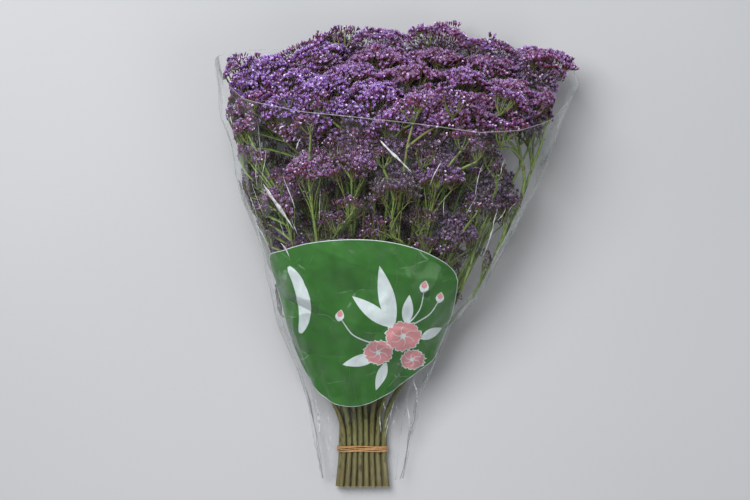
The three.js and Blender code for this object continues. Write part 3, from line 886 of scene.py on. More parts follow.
@dataclass
class SmallParts:
    """The small parts that are repeated, in millimetres: each gives its points, its faces and its zones."""

    petal_tip: float = 2.2
    petal_notch: float = 0.85
    height: float = 8.4

    def build(self) -> bpy.types.Collection:
        """Makes one object of each in a collection outside the scene, in the order of Grown."""
        shapes = (self.floret, self.bud, self.husk, self.bract)
        parts = bpy.data.collections.new("small_parts")
        for kind, shape in zip((Grown.OPEN, Grown.BUD, Grown.HUSK, Grown.BRACT), shapes):
            points, faces, zones = shape()
            made = bpy.data.meshes.new(f"part_{int(kind)}")
            made.from_pydata([tuple(c * MM for c in p) for p in points], [], faces)
            made.attributes.new("part", "FLOAT", "POINT").data.foreach_set("value", zones)
            parts.objects.link(bpy.data.objects.new(made.name, made))
        return parts

    @staticmethod
    def ring(count: int, radius: float, z: float, turn: float = 0.0) -> list[Place]:
        """Gives points round a circle."""
        angles = [math.tau * (i + turn) / count for i in range(count)]
        return [(radius * math.cos(a), radius * math.sin(a), z) for a in angles]

    @staticmethod
    def lathe(count: int, rings: int) -> list[tuple[int, int, int]]:
        """Gives a closed shape's faces, for rings of count points from below, then its foot and top."""
        foot = count * rings
        faces = []
        for i in range(count):
            j = (i + 1) % count
            faces.append((foot, j, i))
            for low in range(0, foot - count, count):
                high = low + count
                faces += [(low + i, low + j, high + j), (low + i, high + j, high + i)]
            last = foot - count
            faces.append((last + i, last + j, foot + 1))
        return faces

    def floret(self) -> tuple[list, list, list[float]]:
        """An open floret: a slim calyx that widens into a star of five petals with a sunken middle."""
        tips = self.ring(5, self.petal_tip, self.height - 0.3)
        notches = self.ring(5, self.petal_notch, self.height - 2.4, 0.5)
        points = [point for pair in zip(tips, notches) for point in pair]
        points += [(0, 0, 0), (0, 0, self.height - 3.2)]
        return points, self.lathe(10, 1), [1.0, 0.6] * 5 + [0.08, 0.8]

    def bud(self) -> tuple[list, list, list[float]]:
        """A closed bud: a slim spindle, red below and violet at its tip."""
        points = [*self.ring(4, 1.05, 4.4), (0, 0, 0), (0, 0, self.height - 0.4)]
        return points, self.lathe(4, 1), [0.45] * 4 + [0.08, 0.86]

    def husk(self) -> tuple[list, list, list[float]]:
        """A spent floret: a papery funnel with a pale rim."""
        return [*self.ring(5, 1.6, 5.9), (0, 0, 0), (0, 0, 3.6)], self.lathe(5, 1), [1.0] * 5 + [0.1, 0.6]

    def bract(self) -> tuple[list, list, list[float]]:
        """A scale leaf that clasps a fork: a curved, pointed blade."""
        points = []
        for z, half, out in ((0, 1.6, 0.9), (3, 1.9, 0.8), (6.5, 1.1, 1.5)):
            points += [(-half, out - 0.7, z), (0, out + 0.6, z), (half, out - 0.7, z), (0, out - 0.1, z)]
        points += [(0, 0.6, -1), (0, 2.6, 9.5)]
        return points, self.lathe(4, 3), [0.1] * 4 + [0.13] * 4 + [0.18] * 4 + [0.05, 0.22]


@dataclass
class Gardener:
    """Turns growths into plain meshes: stalks swept along paths, and small parts set on their roots."""

    twig_sides: int = 3
    stem_ribs: int = 5
    rib_depth: float = 0.84
    seed: int = 7

    def __post_init__(self) -> None:
        """Makes the small parts and the tree, and lists the values of the tree's inputs by identifier."""
        self.parts = SmallParts().build()
        self.tree = bpy.data.node_groups.new("statice_growth", "GeometryNodeTree")
        socket = self.tree.interface.new_socket
        socket("Geometry", in_out="OUTPUT", socket_type="NodeSocketGeometry")
        socket("Geometry", in_out="INPUT", socket_type="NodeSocketGeometry")
        self.inputs = {
            socket(label, in_out="INPUT", socket_type=kind).identifier: value
            for label, kind, value in (
                ("Small parts", "NodeSocketCollection", self.parts),
                ("Twig sides", "NodeSocketInt", self.twig_sides),
                ("Stem ribs", "NodeSocketInt", self.stem_ribs),
                ("Rib depth", "NodeSocketFloat", self.rib_depth),
                ("Seed", "NodeSocketInt", self.seed),
                ("Floret finish", "NodeSocketMaterial", FLORET.material()),
                ("Stalk finish", "NodeSocketMaterial", STALK.material()),
            )
        }
        self._fill_tree()

    def _fill_tree(self) -> None:
        """Adds the nodes that sweep the stalks and set the small parts."""
        node = partial(add_node, self.tree)
        given = node("NodeGroupInput")
        growth = given["Geometry"]
        kind, thick, aim = (
            node("GeometryNodeInputNamedAttribute", {"Name": label}, data_type=form)[0]
            for label, form in (("kind", "INT"), ("thick", "FLOAT"), ("aim", "FLOAT_VECTOR"))
        )

        def is_kind(operation: str, value: Grown) -> Socket:
            """Says where a point's kind compares with a value."""
            compared = {2: kind, 3: int(value)}
            return node("FunctionNodeCompare", compared, data_type="INT", operation=operation)[0]

        span = {"Min": (-1, -1, -1), "Max": (1, 1, 1), "Seed": given["Seed"]}
        side = node("FunctionNodeRandomValue", span, data_type="FLOAT_VECTOR")[0]
        turned = node("FunctionNodeAxesToRotation", (aim, side), primary_axis="Z", secondary_axis="X")[0]
        choice = {"Collection": given["Small parts"], "Separate Children": True, "Reset Children": True}
        placing = {
            "Points": growth,
            "Selection": is_kind("GREATER_EQUAL", Grown.OPEN),
            "Instance": node("GeometryNodeCollectionInfo", choice)[0],
            "Pick Instance": True,
            "Instance Index": kind,
            "Rotation": turned,
            "Scale": thick,
        }
        florets = node("GeometryNodeInstanceOnPoints", placing)[0]
        circle = {"Resolution": given["Twig sides"], "Radius": 1.0}
        star = {"Points": given["Stem ribs"], "Inner Radius": given["Rib depth"], "Outer Radius": 1.0}
        swept = []
        for value, profile in (
            (Grown.STALK, node("GeometryNodeCurvePrimitiveCircle", circle)[0]),
            (Grown.RIBBED_STALK, node("GeometryNodeCurveStar", star)[0]),
        ):
            chosen = {"Mesh": growth, "Selection": is_kind("EQUAL", value)}
            curve = node("GeometryNodeMeshToCurve", chosen)[0]
            sweep = {"Curve": curve, "Profile Curve": profile, "Scale": thick, "Fill Caps": True}
            swept.append(node("GeometryNodeCurveToMesh", sweep)[0])
        stalks = node("GeometryNodeJoinGeometry", {0: swept})[0]
        stalks = node("GeometryNodeSetShadeSmooth", {"Geometry": stalks})[0]
        florets = node("GeometryNodeRealizeInstances", {"Geometry": florets})[0]
        whole = [
            node("GeometryNodeSetMaterial", {"Geometry": plain, "Material": given[finish]})[0]
            for plain, finish in ((stalks, "Stalk finish"), (florets, "Floret finish"))
        ]
        node("NodeGroupOutput", (node("GeometryNodeJoinGeometry", {0: whole})[0],))

    def grow(self, growths: dict[str, Growth]) -> dict[str, Object]:
        """Makes a piece of each growth.

        Args:
            growths: the growths by the names of their pieces.

        Returns:
            The pieces by name, as plain meshes.
        """
        pieces = {name: make_object(name, growth.mesh(name)) for name, growth in growths.items()}
        for piece in pieces.values():
            modifier = piece.modifiers.new("growth", "NODES")
            modifier.node_group = self.tree
            for identifier, value in self.inputs.items():
                modifier[identifier] = value
        graph = bpy.context.evaluated_depsgraph_get()
        take = partial(bpy.data.meshes.new_from_object, preserve_all_data_layers=True, depsgraph=graph)
        grown = [take(piece.evaluated_get(graph)) for piece in pieces.values()]
        for (name, piece), plain in zip(pieces.items(), grown):
            piece.modifiers.clear()
            old, piece.data = piece.data, plain
            bpy.data.meshes.remove(old)
            plain.name = name
            for label in ("kind", "thick", "aim"):
                if plain.attributes.get(label):
                    plain.attributes.remove(plain.attributes[label])
        return pieces

    def clear(self) -> None:
        """Removes the small parts, which are no pieces."""
        for part in list(self.parts.objects):
            bpy.data.objects.remove(part)
        bpy.data.collections.remove(self.parts)


@dataclass
class Cyme:
    """A short arched twig with two rows of florets."""

    middle: Array
    up: Array
    along: Array
    length: float = 12
    count: int = 8
    row: float = 1.7
    splay: float = 0.42
    arch: float = 2.4
    end_drop: float = 0.4
    sunk: float = 0.8
    fan: float = 0.7
    fan_from: float = 0.42
    stray: float = 0.13
    radius: float = 0.42
    taper: tuple[float, float] = (1.9, 0.8)
    size: float = 1.0
    open_share: float = 0.5
    closed_share: float = 0.9

    def grow(self, growth: Growth, foot: Sequence[Array], chance: random.Random, tint: float) -> None:
        """Adds the cyme to a growth.

        Args:
            growth: what it is added to.
            foot: the points of the twig that carries it.
            chance: where its random draws come from.
            tint: how rosy its florets are, from 0 to 1, and how faded, from 1 to 2.
        """
        up, along = self.up, self.along
        side = np.cross(up, along)
        start = self.middle - along * self.length / 2 - up * self.arch
        end = self.middle + along * self.length / 2 - up * self.arch * self.end_drop
        path = [*foot, start, end]
        radii = np.linspace(*(self.radius * share for share in self.taper), len(path))
        # the twig's tint, mostly over 1, darkens it as painted shade inside the head
        growth.stalk(path, radii, chance.uniform(0.7, 1.9))
        for index in range(self.count):
            share = (index + 0.5) / self.count
            rest = 1 - share
            hand = 1 if index % 2 else -1
            on = start * rest**2 + 2 * (self.middle + up * self.arch) * share * rest + end * share**2
            root = on + side * hand * self.row * chance.uniform(0.6, 1.2) - up * self.sunk
            aim = up + side * hand * self.splay * chance.uniform(0.4, 1.3)
            aim = aim + along * (share - self.fan_from) * self.fan + jitter(chance, self.stray)
            draw = chance.random() + (0.15 if index == self.count - 1 else 0)
            closed = Grown.BUD if draw < self.closed_share else Grown.HUSK
            kind = Grown.OPEN if draw < self.open_share else closed
            size = self.size * chance.uniform(0.85, 1.15)
            growth.root(root, aim, kind, size, tint + chance.uniform(-0.16, 0.16))


@dataclass
class FlowerHead:
    """One head: a plate of cymes in small domes, on branchlets that rise from a few twig ends under it."""

    plan: HeadPlan
    layout: Layout
    spacing: float = 9.2
    row_share: float = 0.866
    stray: float = 0.26
    dome_step: float = 27
    dome_ring: tuple[float, float] = (0.55, 0.68)
    bump: float = 7
    bump_width: float = 16
    gap_from: float = 1.0
    gap_share: float = 0.46
    more_gaps: float = 0.22
    tall_share: float = 0.07
    plate_depth: float = 13
    core: float = 19
    hub_drop: float = 46
    twig_step: float = 7
    inset: float = 2
    out_lean: float = 0.6
    back_from: float = 645
    side_rows: int = 3
    side_step: float = 8
    side_taper: float = 0.3
    florets: int = 9
    skirt_florets: int = 7
    floret_size: float = 1.12

    def __post_init__(self) -> None:
        """Settles the random draws and where the twigs end."""
        chance = random.Random(self.plan.seed)
        self.chance = chance
        self.tint = chance.uniform(0.05, 0.5) + 0.58 * float(smooth_step(-0.6, 0.1, self.plan.across))
        if self.plan.tier is Tier.SKIRT:
            self.tint = 1.0 + (0.9 - 0.5 * float(smooth_step(462, 480, self.plan.y))) * self.tint
        mean = np.mean([self.reach(angle) for angle in np.linspace(0, math.tau, 12, endpoint=False)])
        count = int(np.clip(round(math.tau * 0.6 * mean / self.dome_step), 4, 8))
        start = chance.random() * math.pi
        self.domes = [(0.0, 0.0)]
        for step in range(count):
            angle = start + math.tau * (step + chance.uniform(-0.15, 0.15)) / count
            out = self.reach(angle) * chance.uniform(*self.dome_ring)
            self.domes.append((out * math.cos(angle), out * math.sin(angle)))

    def at(self, dx: float, dz: float, rise: float) -> Array:
        """Gives the place of a point of the head, at an offset from its middle."""
        return self.layout.at(self.plan, dx, dz, rise)

    def reach(self, angle: float) -> float:
        """Gives how far the head goes in one direction."""
        return self.layout.reach(self.plan, angle)

    def hub(self) -> Array:
        """Gives the point where the head's twigs part."""
        return self.at(0, 0, -self.core - self.hub_drop)

    def neck(self) -> Array:
        """Gives the point under the head's middle."""
        return self.at(0, 0, -self.core)

    def twig_ends(self) -> list[Array]:
        """Gives the points under the plate where its twigs end."""
        ends = []
        for dx, dz in self.domes:
            share = math.hypot(dx, dz) / self.reach(math.atan2(dz, dx))
            ends.append(self.at(dx, dz, self.plan.rise(dx, dz, share) - self.plate_depth))
        return ends

    def cyme_places(self) -> list[Place]:
        """Gives the cymes' offsets from the head's middle, with their share of the way to the rim."""
        found = []
        chance, spacing, limit = self.chance, self.spacing, self.layout.head_reach
        rows = int(2 * limit / (spacing * self.row_share)) + 1
        turn = chance.random() * math.pi
        for row in range(-rows // 2, rows // 2 + 1):
            for step in range(-rows // 2, rows // 2 + 1):
                x = (step + (row % 2) / 2) * spacing + chance.uniform(-1, 1) * spacing * self.stray
                z = row * spacing * self.row_share + chance.uniform(-1, 1) * spacing * self.stray
                dx, dz = x * math.cos(turn) - z * math.sin(turn), x * math.sin(turn) + z * math.cos(turn)
                out = math.hypot(dx, dz)
                if out > limit:
                    continue
                room = self.reach(math.atan2(dz, dx)) - self.inset
                if out <= room:
                    found.append((dx, dz, out / max(room, 1.0)))
        return found

    def facing(self, dx: float, dz: float, splay: float) -> Array:
        """Gives the direction that the head faces at an offset, turned outwards by splay."""
        lean_x, lean_z = self.plan.lean()
        out = math.hypot(dx, dz) or 1.0
        return unit(np.array([-lean_x + splay * dx / out, 1.0, -lean_z + splay * dz / out]))

    def sides(self) -> list[tuple[float, float, float, float]]:
        """Gives cymes down the head's sides, as offset, rise and splay: most where they can be seen."""
        found = []
        plan, chance = self.plan, self.chance
        is_at_back = plan.y > self.back_from
        rows = 0 if plan.tier is Tier.SKIRT else self.side_rows + 2 * is_at_back
        for row in range(rows):
            drop = self.side_step * (row + (-0.6 if is_at_back else 0.9))
            angle = chance.random()
            while angle < math.tau:
                reach = self.reach(angle) - self.inset
                if chance.random() < max(math.sin(angle) + 0.3, self.edge(angle)):
                    out = reach * (1 - self.side_taper * (row + chance.random()) / 4)
                    dx, dz = out * math.cos(angle), out * math.sin(angle)
                    rise = plan.rise(dx, dz, 1.0) - drop + chance.uniform(-3, 3)
                    found.append((dx, dz, rise, 1.2 + 0.3 * row))
                angle += self.spacing * (0.8 if row == 0 else 1) / max(reach, 8) * chance.uniform(0.8, 1.2)
        return found

    def edge(self, angle: float) -> float:
        """Gives how much the head's side lies on the outside of the bunch in a direction."""
        form = self.layout.form
        reach = self.reach(angle) + 10
        across = self.plan.across + reach * math.cos(angle) / form.ref_width
        front = self.plan.front + reach * math.sin(angle) / form.ref_depth
        return (0.8 if math.sin(angle) > -0.3 else 0.4) if math.hypot(across, front) > 0.97 else 0.0

    def spots(self) -> list[tuple[float, float, float, float]]:
        """Gives all cymes as offset, rise and splay, with gaps between the small domes."""
        found = []
        chance = self.chance
        gap_share = self.gap_share + self.more_gaps * float(smooth_step(-0.6, -0.1, self.plan.across))
        for dx, dz, share in self.cyme_places():
            apart = min(math.hypot(dx - x, dz - z) for x, z in self.domes) / self.bump_width
            if apart > self.gap_from and share < 0.8 and chance.random() < gap_share:
                continue
            bump = self.bump * max(-0.8, 1 - apart**2)
            rise = self.plan.rise(dx, dz, share) + 3.5 + bump + chance.uniform(-2.2, 2.2)
            if chance.random() < self.tall_share:
                rise += chance.uniform(4, 9)
            found.append((dx, dz, rise, self.out_lean * share**1.5))
        return found + self.sides()

    def grow(self) -> Growth:
        """Builds the head's growth."""
        growth = Growth()
        chance = self.chance
        ends = self.twig_ends()
        count = self.skirt_florets if self.plan.tier is Tier.SKIRT else self.florets
        for dx, dz, rise, splay in self.spots():
            is_side = splay > 1
            nearest = int(np.argmin([math.hypot(dx - x, dz - z) for x, z in self.domes]))
            middle, up = self.at(dx, dz, rise), self.facing(dx, dz, splay)
            along = level(chance.random() * math.tau)
            along = unit(along - up * float(along @ up))
            end = ends[nearest] * 0.45 + self.neck() * 0.55 if is_side else ends[nearest]
            foot = [end, end + (middle - end) * 0.55 - up * 3.0]
            cyme = Cyme(middle, up, along, chance.uniform(10, 13.5), count)
            cyme.size, cyme.open_share = self.floret_size, 0.32 if is_side else 0.52
            cyme.grow(growth, foot, chance, self.tint + chance.uniform(-0.12, 0.12) + 0.75 * is_side)
        return growth


@dataclass
class StemBundle:
    """The stems, pressed together under the band."""

    form: BunchForm = field(default_factory=BunchForm)
    radii: Table = Table((0, 4.2), (110, 4), (300, 3.2), (420, 2.6), (700, 2))
    tie_y: float = 58
    tie_width: float = 9
    tie_thick: float = 1.7
    gap: float = 0.35
    stem_gap: float = 0.45
    film_wall: float = 0.8
    free_from: float = 66
    loose_from: float = 190
    cut_splay: float = 0.14
    cut_rise: float = 2.8
    rounds: int = 900
    drawn_rounds: int = 700
    draw: tuple[float, float] = (0.9985, 0.98)

    def __post_init__(self) -> None:
        """Draws the stems together until they touch, and pushes apart those that overlap."""
        radius = float(self.radii.at(self.tie_y)[0])
        half_width, half_depth, _ = self.form.form.at(self.tie_y)
        packed = np.array([[s.heads[0][0] * half_width, s.heads[0][1] * half_depth] for s in SPRAYS])
        apart = 2 * radius + self.stem_gap
        for turn in range(self.rounds):
            if turn < self.drawn_rounds:
                packed *= self.draw
            for i in range(len(packed)):
                for j in range(i + 1, len(packed)):
                    dx, dz = packed[j] - packed[i]
                    distance = math.hypot(dx, dz)
                    if distance < apart:
                        push = (apart - distance) / 2 / distance
                        packed[i] -= (dx * push, dz * push)
                        packed[j] += (dx * push, dz * push)
        seat = self.film_wall + self.gap + self.tie_thick + self.gap + radius
        packed[:, 1] += seat - packed[:, 1].min()
        self.packed = packed

    def point(self, spray: int, across: float, front: float, y: float) -> Array:
        """Gives a point on a spray's stem, for the fractions of the head that it makes for."""
        free = self.form.place(across, front, y, SPRAYS[spray].tier)
        to_cut = max(0.0, 1 - y / (self.tie_y - self.tie_width))
        x, z = self.packed[spray]
        bound = np.array([x * (1 + self.cut_splay * to_cut), y, z + self.cut_rise * to_cut])
        return bound + (free - bound) * smooth_step(self.free_from, self.loose_from, y)

    def outline(self, clearance: float) -> Array:
        """Gives the outline of a taut loop round the stems, this far outside them."""
        radius = float(self.radii.at(self.tie_y)[0]) + clearance
        turns = np.linspace(0, math.tau, 24, endpoint=False)
        circle = [(radius * math.cos(t), radius * math.sin(t)) for t in turns]
        cloud = sorted((x + dx, z + dz) for x, z in self.packed for dx, dz in circle)

        def half(ordered: Iterable[tuple[float, float]]) -> list[tuple[float, float]]:
            """Gives the hull on one side."""
            hull: list[tuple[float, float]] = []
            for x, z in ordered:
                while len(hull) > 1:
                    (ax, az), (bx, bz) = hull[-2:]
                    if (bx - ax) * (z - az) - (bz - az) * (x - ax) > 1e-6:
                        break
                    hull.pop()
                hull.append((x, z))
            return hull[:-1]

        return np.array(half(cloud) + half(reversed(cloud)))


@dataclass
class Spray:
    """One spray's green parts: its ribbed stem, branches, twigs, scale leaves and side sprigs."""

    number: int
    heads: list[FlowerHead]
    bundle: StemBundle
    branch_radii: Table = Table((0, 2.6), (300, 2.3), (600, 1.7), (700, 1.6))
    stem_steps: tuple[float, ...] = (0, 49, 67, 95, 130, 190, 270, 350, 430, 500, 560)
    branch_steps: tuple[float, ...] = (0.15, 0.3, 0.45, 0.62, 0.8)
    branch_merge: float = 90
    stem_clear: float = 30
    margin: float = 4.2
    hub_taper: float = 0.8
    neck_radius: float = 1.2
    twig_radii: tuple[float, ...] = (1.6, 1.25, 0.9)
    sprig_radii: tuple[float, ...] = (1.0, 0.8, 0.6)
    sprig_step: float = 44
    sprig_from: float = 270
    sprig_length: tuple[float, float] = (25, 70)
    sprig_turn: float = 2.4
    sprig_clear: float = 12
    widest: float = 1.02
    hindmost: float = -0.72
    first_seed: int = 7000

    def path_to(self, index: int) -> tuple[Array, Array]:
        """Gives the path and radii of the stem or branch that carries a head."""
        main, head = self.heads[0].plan, self.heads[index].plan
        hub = self.heads[index].hub()
        if index == 0:
            radii = self.bundle.radii
            steps = [y for y in self.stem_steps if y < hub[1] - self.stem_clear]
        else:
            radii = self.branch_radii
            fork = SPRAYS[self.number].forks[index - 1]
            steps = [fork, *(fork + (hub[1] - fork) * share for share in self.branch_steps)]
        path, thick = [], []
        for y in steps:
            own = 1.0 if index == 0 else float(smooth_step(fork, fork + self.branch_merge, y))
            across = main.across + (head.across - main.across) * own
            front = main.front + (head.front - main.front) * own
            path.append(self.bundle.point(self.number, across, front, y))
            thick.append(float(radii.at(y)[0]))
        path += [hub, self.heads[index].neck()]
        thick += [float(radii.at(hub[1])[0]) * self.hub_taper, self.neck_radius]
        return smooth_path(path, thick, 4)

    def grow(self) -> tuple[Growth, Growth]:
        """Builds the spray's green parts and its side sprigs."""
        green, sprigs = Growth(self.margin), Growth()
        chance = random.Random(self.first_seed + self.number)
        for index, head in enumerate(self.heads):
            path, thick = self.path_to(index)
            green.stalk(path, thick, chance.uniform(0.0, 0.75), is_ribbed=True)
            if index > 0:
                self.scale_leaf(green, path[1], path[2] - path[0], thick[0], chance)
            self.head_twigs(green, head, path, chance)
            self.side_sprigs(sprigs, path, index, chance)
        return green, sprigs

    @staticmethod
    def scale_leaf(growth: Growth, root: Array, along: Array, radius: float, chance: random.Random) -> None:
        """Adds a papery scale leaf at a fork."""
        aim = unit(along) + jitter(chance, 0.2)
        size = chance.uniform(0.7, 1.1) * (0.4 + 0.25 * radius)
        growth.root(root, aim, Grown.BRACT, size, chance.random())

    def head_twigs(self, growth: Growth, head: FlowerHead, path: Array, chance: random.Random) -> None:
        """Adds the twigs that rise from the branch's end to the plate."""
        hub = head.hub()
        back = unit(path[-7] - hub)
        for step, end in enumerate(head.twig_ends()[1:]):
            root = hub + back * head.twig_step * ((step * 2) % 5) * 0.9
            rising = root + UP_THE_BUNCH * 0.35 * np.linalg.norm(end - root)
            bend = root * 0.25 + end * 0.35 + rising * 0.4
            growth.stalk(*smooth_path([root, bend, end], self.twig_radii, 4), chance.uniform(0.0, 0.8))
            self.scale_leaf(growth, root, end - root, 0.8, chance)

    def side_sprigs(self, growth: Growth, path: Array, index: int, chance: random.Random) -> None:
        """Adds thin flowering sprigs along a stem or branch, turning round it."""
        form = self.bundle.form
        low = max(self.sprig_from, SPRAYS[self.number].forks[index - 1] + 30 if index else 0)
        high = self.heads[index].hub()[1]
        turn = chance.random() * 6
        y = low + chance.uniform(0, self.sprig_step)
        while y < high:
            near = int(np.argmin(abs(path[:, 1] - y)))
            along = unit(path[min(near + 1, len(path) - 1)] - path[max(near - 1, 0)])
            turn += self.sprig_turn
            aim = unit(along + level(turn) * chance.uniform(0.45, 1.0))
            length = chance.uniform(*self.sprig_length)
            for _ in range(3):
                end = path[near] + aim * (length + self.sprig_clear)
                across, front = form.fractions(end)
                is_inside = math.hypot(across, front) < self.widest and front > self.hindmost
                if is_inside and not form.is_open(end):
                    self.sprig(growth, path[near], aim, length, chance)
                    break
                length *= 0.6
            y += self.sprig_step * chance.uniform(0.7, 1.3)

    def sprig(self, growth: Growth, root: Array, aim: Array, length: float, chance: random.Random) -> None:
        """Adds a thin twig that forks into branchlets with small cymes."""
        tip = root + aim * length * 0.8 + UP_THE_BUNCH * length * 0.2
        line, thick = smooth_path([root, root + aim * length * 0.5, tip], self.sprig_radii, 2)
        growth.stalk(line, thick, chance.uniform(0.1, 0.9))
        tint = chance.uniform(1.2, 2.1)
        for fork in range(2 + int(length / 18)):
            foot = line[-1 - fork % 3]
            reach = chance.uniform(8, 12 + length * 0.25)
            up = unit(UP_THE_BUNCH + aim * 0.7 + jitter(chance, 0.5))
            along = np.array([chance.uniform(-1, 1), 0.1, chance.uniform(-1, 1)])
            along = unit(along - up * float(along @ up))
            size = chance.uniform(0.75, 1.0)
            cyme = Cyme(foot + up * reach, up, along, 9, 5, size=size, open_share=0.15, radius=0.4)
            cyme.grow(growth, [foot, foot + up * reach * 0.5], chance, tint)


@dataclass
class Understorey:
    """The small side heads that fill the sleeve between the plates, each on a twig of the nearest stem.

    Those that stand proud have places of their own, and so have the stems that show beside and in front.
    """

    layout: Layout
    sprays: list[Spray]
    low: int = 300
    high: int = 585
    row_step: int = 34
    across_step: float = 47
    depths: tuple[float, ...] = (0.95, 0.62)
    outer_from: float = 0.8
    hindmost: float = -0.66
    edge_from: float = 0.75
    edge_crowding: float = 0.6
    crowding: float = 1.15
    radius: tuple[float, float] = (15, 27)
    ribs_per_mm: float = 0.34
    radii: tuple[float, ...] = (2.6, 2.2, 1.8)
    rib_radii: tuple[float, ...] = (1.35, 1.0, 0.7)
    twigs_from: float = 150
    twig_drop: float = 42
    proud: Rows = (
        (-194, 640, 112), (-172, 642, 70), (-200, 624, 140), (-186, 604, 170), (-112, 650, 112),
        (-84, 664, 96), (-58, 676, 88), (-30, 684, 92), (96, 690, 96), (168, 668, 90), (282, 632, 104),
        (234, 440, 112), (212, 434, 134), (192, 350, 118),
    )
    outer_spray: int = 15
    outer_thick: float = 3.1
    outer_stems: tuple[Rows, ...] = (
        (
            (66, 170, 44), (100, 212, 60), (134, 254, 80), (167, 290, 92), (200, 342, 100), (222, 380, 104),
            (240, 424, 108),
        ),
        ((200, 342, 100), (210, 372, 112), (215, 404, 122), (214, 430, 128)),
        ((112, 236, 100), (138, 288, 122), (158, 338, 134), (170, 388, 136)),
        ((100, 212, 60), (136, 280, 50), (172, 350, 52), (206, 420, 66), (236, 486, 84), (258, 540, 94)),
        ((222, 380, 104), (244, 436, 98), (260, 484, 100), (272, 528, 104), (276, 560, 108)),
        ((244, 436, 98), (240, 470, 112), (232, 506, 124), (222, 536, 128)),
        ((260, 484, 100), (250, 512, 88), (244, 540, 76)),
    )
    front_spray: int = 13
    front_thick: float = 2.4
    front_stems: tuple[Rows, ...] = (
        ((52, 420, 198), (58, 462, 214), (64, 506, 232), (74, 546, 238), (80, 572, 214)),
        ((74, 546, 238), (86, 564, 234), (96, 584, 208)),
        ((74, 546, 238), (69, 560, 234), (63, 574, 208)),
        ((64, 506, 232), (86, 524, 236), (108, 538, 216)),
    )
    stem_taper: float = 0.55
    seed: int = 41

    def __post_init__(self) -> None:
        """Lists the points of the stems with the spray that each belongs to."""
        self.form = self.layout.form
        self.chance = random.Random(self.seed)
        outer = (self.outer_spray, self.outer_thick, self.outer_stems)
        front = (self.front_spray, self.front_thick, self.front_stems)
        self.shown = [
            (spray, *smooth_path(path, np.linspace(thick, self.stem_taper * thick, len(path)), 3))
            for spray, thick, paths in (outer, front)
            for path in paths
        ]
        self.on_stems = [
            (spray.number, point)
            for spray in self.sprays
            for index in range(len(spray.heads))
            for point in spray.path_to(index)[0]
            if point[1] > self.twigs_from
        ]
        for spray, line, _ in self.shown[: len(self.outer_stems)]:
            self.on_stems += [(spray, point) for point in line]
        self.stem_points = np.array([point for _, point in self.on_stems])
        self.taken = [
            (self.layout.at(head, 0, 0, -8), 16 + self.layout.reach(head, math.pi / 2) * 0.8)
            for head in self.layout.heads
        ]

    def targets(self) -> list[Array]:
        """Gives the middles of the side heads, clear of the large ones and of the gaps."""
        found = []
        chance = self.chance
        for depth in self.depths:
            is_outer = depth > self.outer_from
            for y in range(self.low, self.high, self.row_step):
                half_width, half_depth, _ = self.form.form.at(y)
                angle = chance.random()
                while angle < math.tau:
                    cos, sin = math.cos(angle), math.sin(angle)
                    out = depth + chance.uniform(-0.08, 0.05) + 0.1 * is_outer * abs(cos)
                    out -= 0.16 * float(smooth_step(480, 560, y)) * max(0.0, sin)
                    height = y + chance.uniform(-12, 12)
                    place = self.form.place(out * cos, max(out * sin, self.hindmost), height, Tier.SKIRT)
                    is_free = all(np.linalg.norm(place - middle) > room for middle, room in self.taken)
                    if is_free and not self.form.is_open(place):
                        found.append(place)
                    crowding = self.crowding
                    if is_outer and abs(cos) > self.edge_from:
                        crowding = self.edge_crowding - 0.08 * (cos < 0)
                    step = self.across_step * crowding * chance.uniform(0.8, 1.2)
                    angle += step / (depth * (half_width + half_depth) / 2)
        return found

    def grow(self, growths: Sequence[Growth]) -> None:
        """Adds the stems that show, then the side heads and those with places of their own."""
        for spray, line, thick in self.shown:
            tint = self.chance.uniform(0.0, 0.3) + 0.5 * (spray == self.front_spray)
            growths[spray].stalk(line, thick, tint, is_ribbed=True)
        for target in [*self.targets(), *np.array(self.proud, float)]:
            gap = np.linalg.norm((self.stem_points - target) * (1.3, 1.0, 1.3), axis=1)
            gap[self.stem_points[:, 1] > target[1] - self.twig_drop] = np.inf
            number, root = self.on_stems[int(np.argmin(gap))]
            self.side_head(growths[number], root, target)

    def side_head(self, growth: Growth, root: Array, target: Array) -> None:
        """Adds one side head: a twig, its ribs and their cymes."""
        chance = self.chance
        across, front = self.form.fractions(target)
        up = unit(np.array([across * 0.45, 1.0, front * 0.4 + 0.12]) + jitter(chance, 0.14))
        radius = chance.uniform(*self.radius)
        fork = target - up * radius * 1.25
        bend = root * 0.45 + fork * 0.55 + UP_THE_BUNCH * 0.06 * np.linalg.norm(fork - root)
        stout = 1 + 0.35 * max(0.0, front)
        line, thick = smooth_path([root, bend, fork], [part * stout for part in self.radii], 4)
        growth.stalk(line, thick, chance.uniform(0.0, 0.5))
        low = float(smooth_step(570, 480, target[1]))
        tint = chance.uniform(0.3, 1.0) + 1.0 * low
        ribs = int(radius * self.ribs_per_mm)
        turn = chance.random() * 6
        side = unit(np.cross(up, (0.3, 0.2, 1.0)))
        for rib in range(ribs):
            angle = turn + math.tau * (rib + chance.uniform(-0.2, 0.2)) / ribs
            out = side * math.cos(angle) + np.cross(up, side) * math.sin(angle)
            tip = target + out * radius * 0.6 - up * 5
            bend = fork * 0.5 + tip * 0.5 + out * radius * 0.12
            growth.stalk(*smooth_path([fork, bend, tip], self.rib_radii, 2), chance.uniform(0.1, 0.8))
            for part in range(2):
                spot = target + out * radius * (0.45 + 0.5 * part) + up * (chance.uniform(-3, 4) - 4 * part)
                spot = spot + np.cross(up, out) * chance.uniform(-4, 4)
                lean = unit(up + out * 0.5 * part)
                along = unit(np.cross(lean, out) + out * chance.uniform(-1, 1))
                cyme = Cyme(spot, lean, along, 10, 6 - round(low), open_share=0.42 - 0.27 * low)
                cyme.size = chance.uniform(0.82, 1.05) - 0.1 * low
                cyme.grow(growth, [tip], chance, tint + chance.uniform(-0.1, 0.1))


# The band, the film and its print


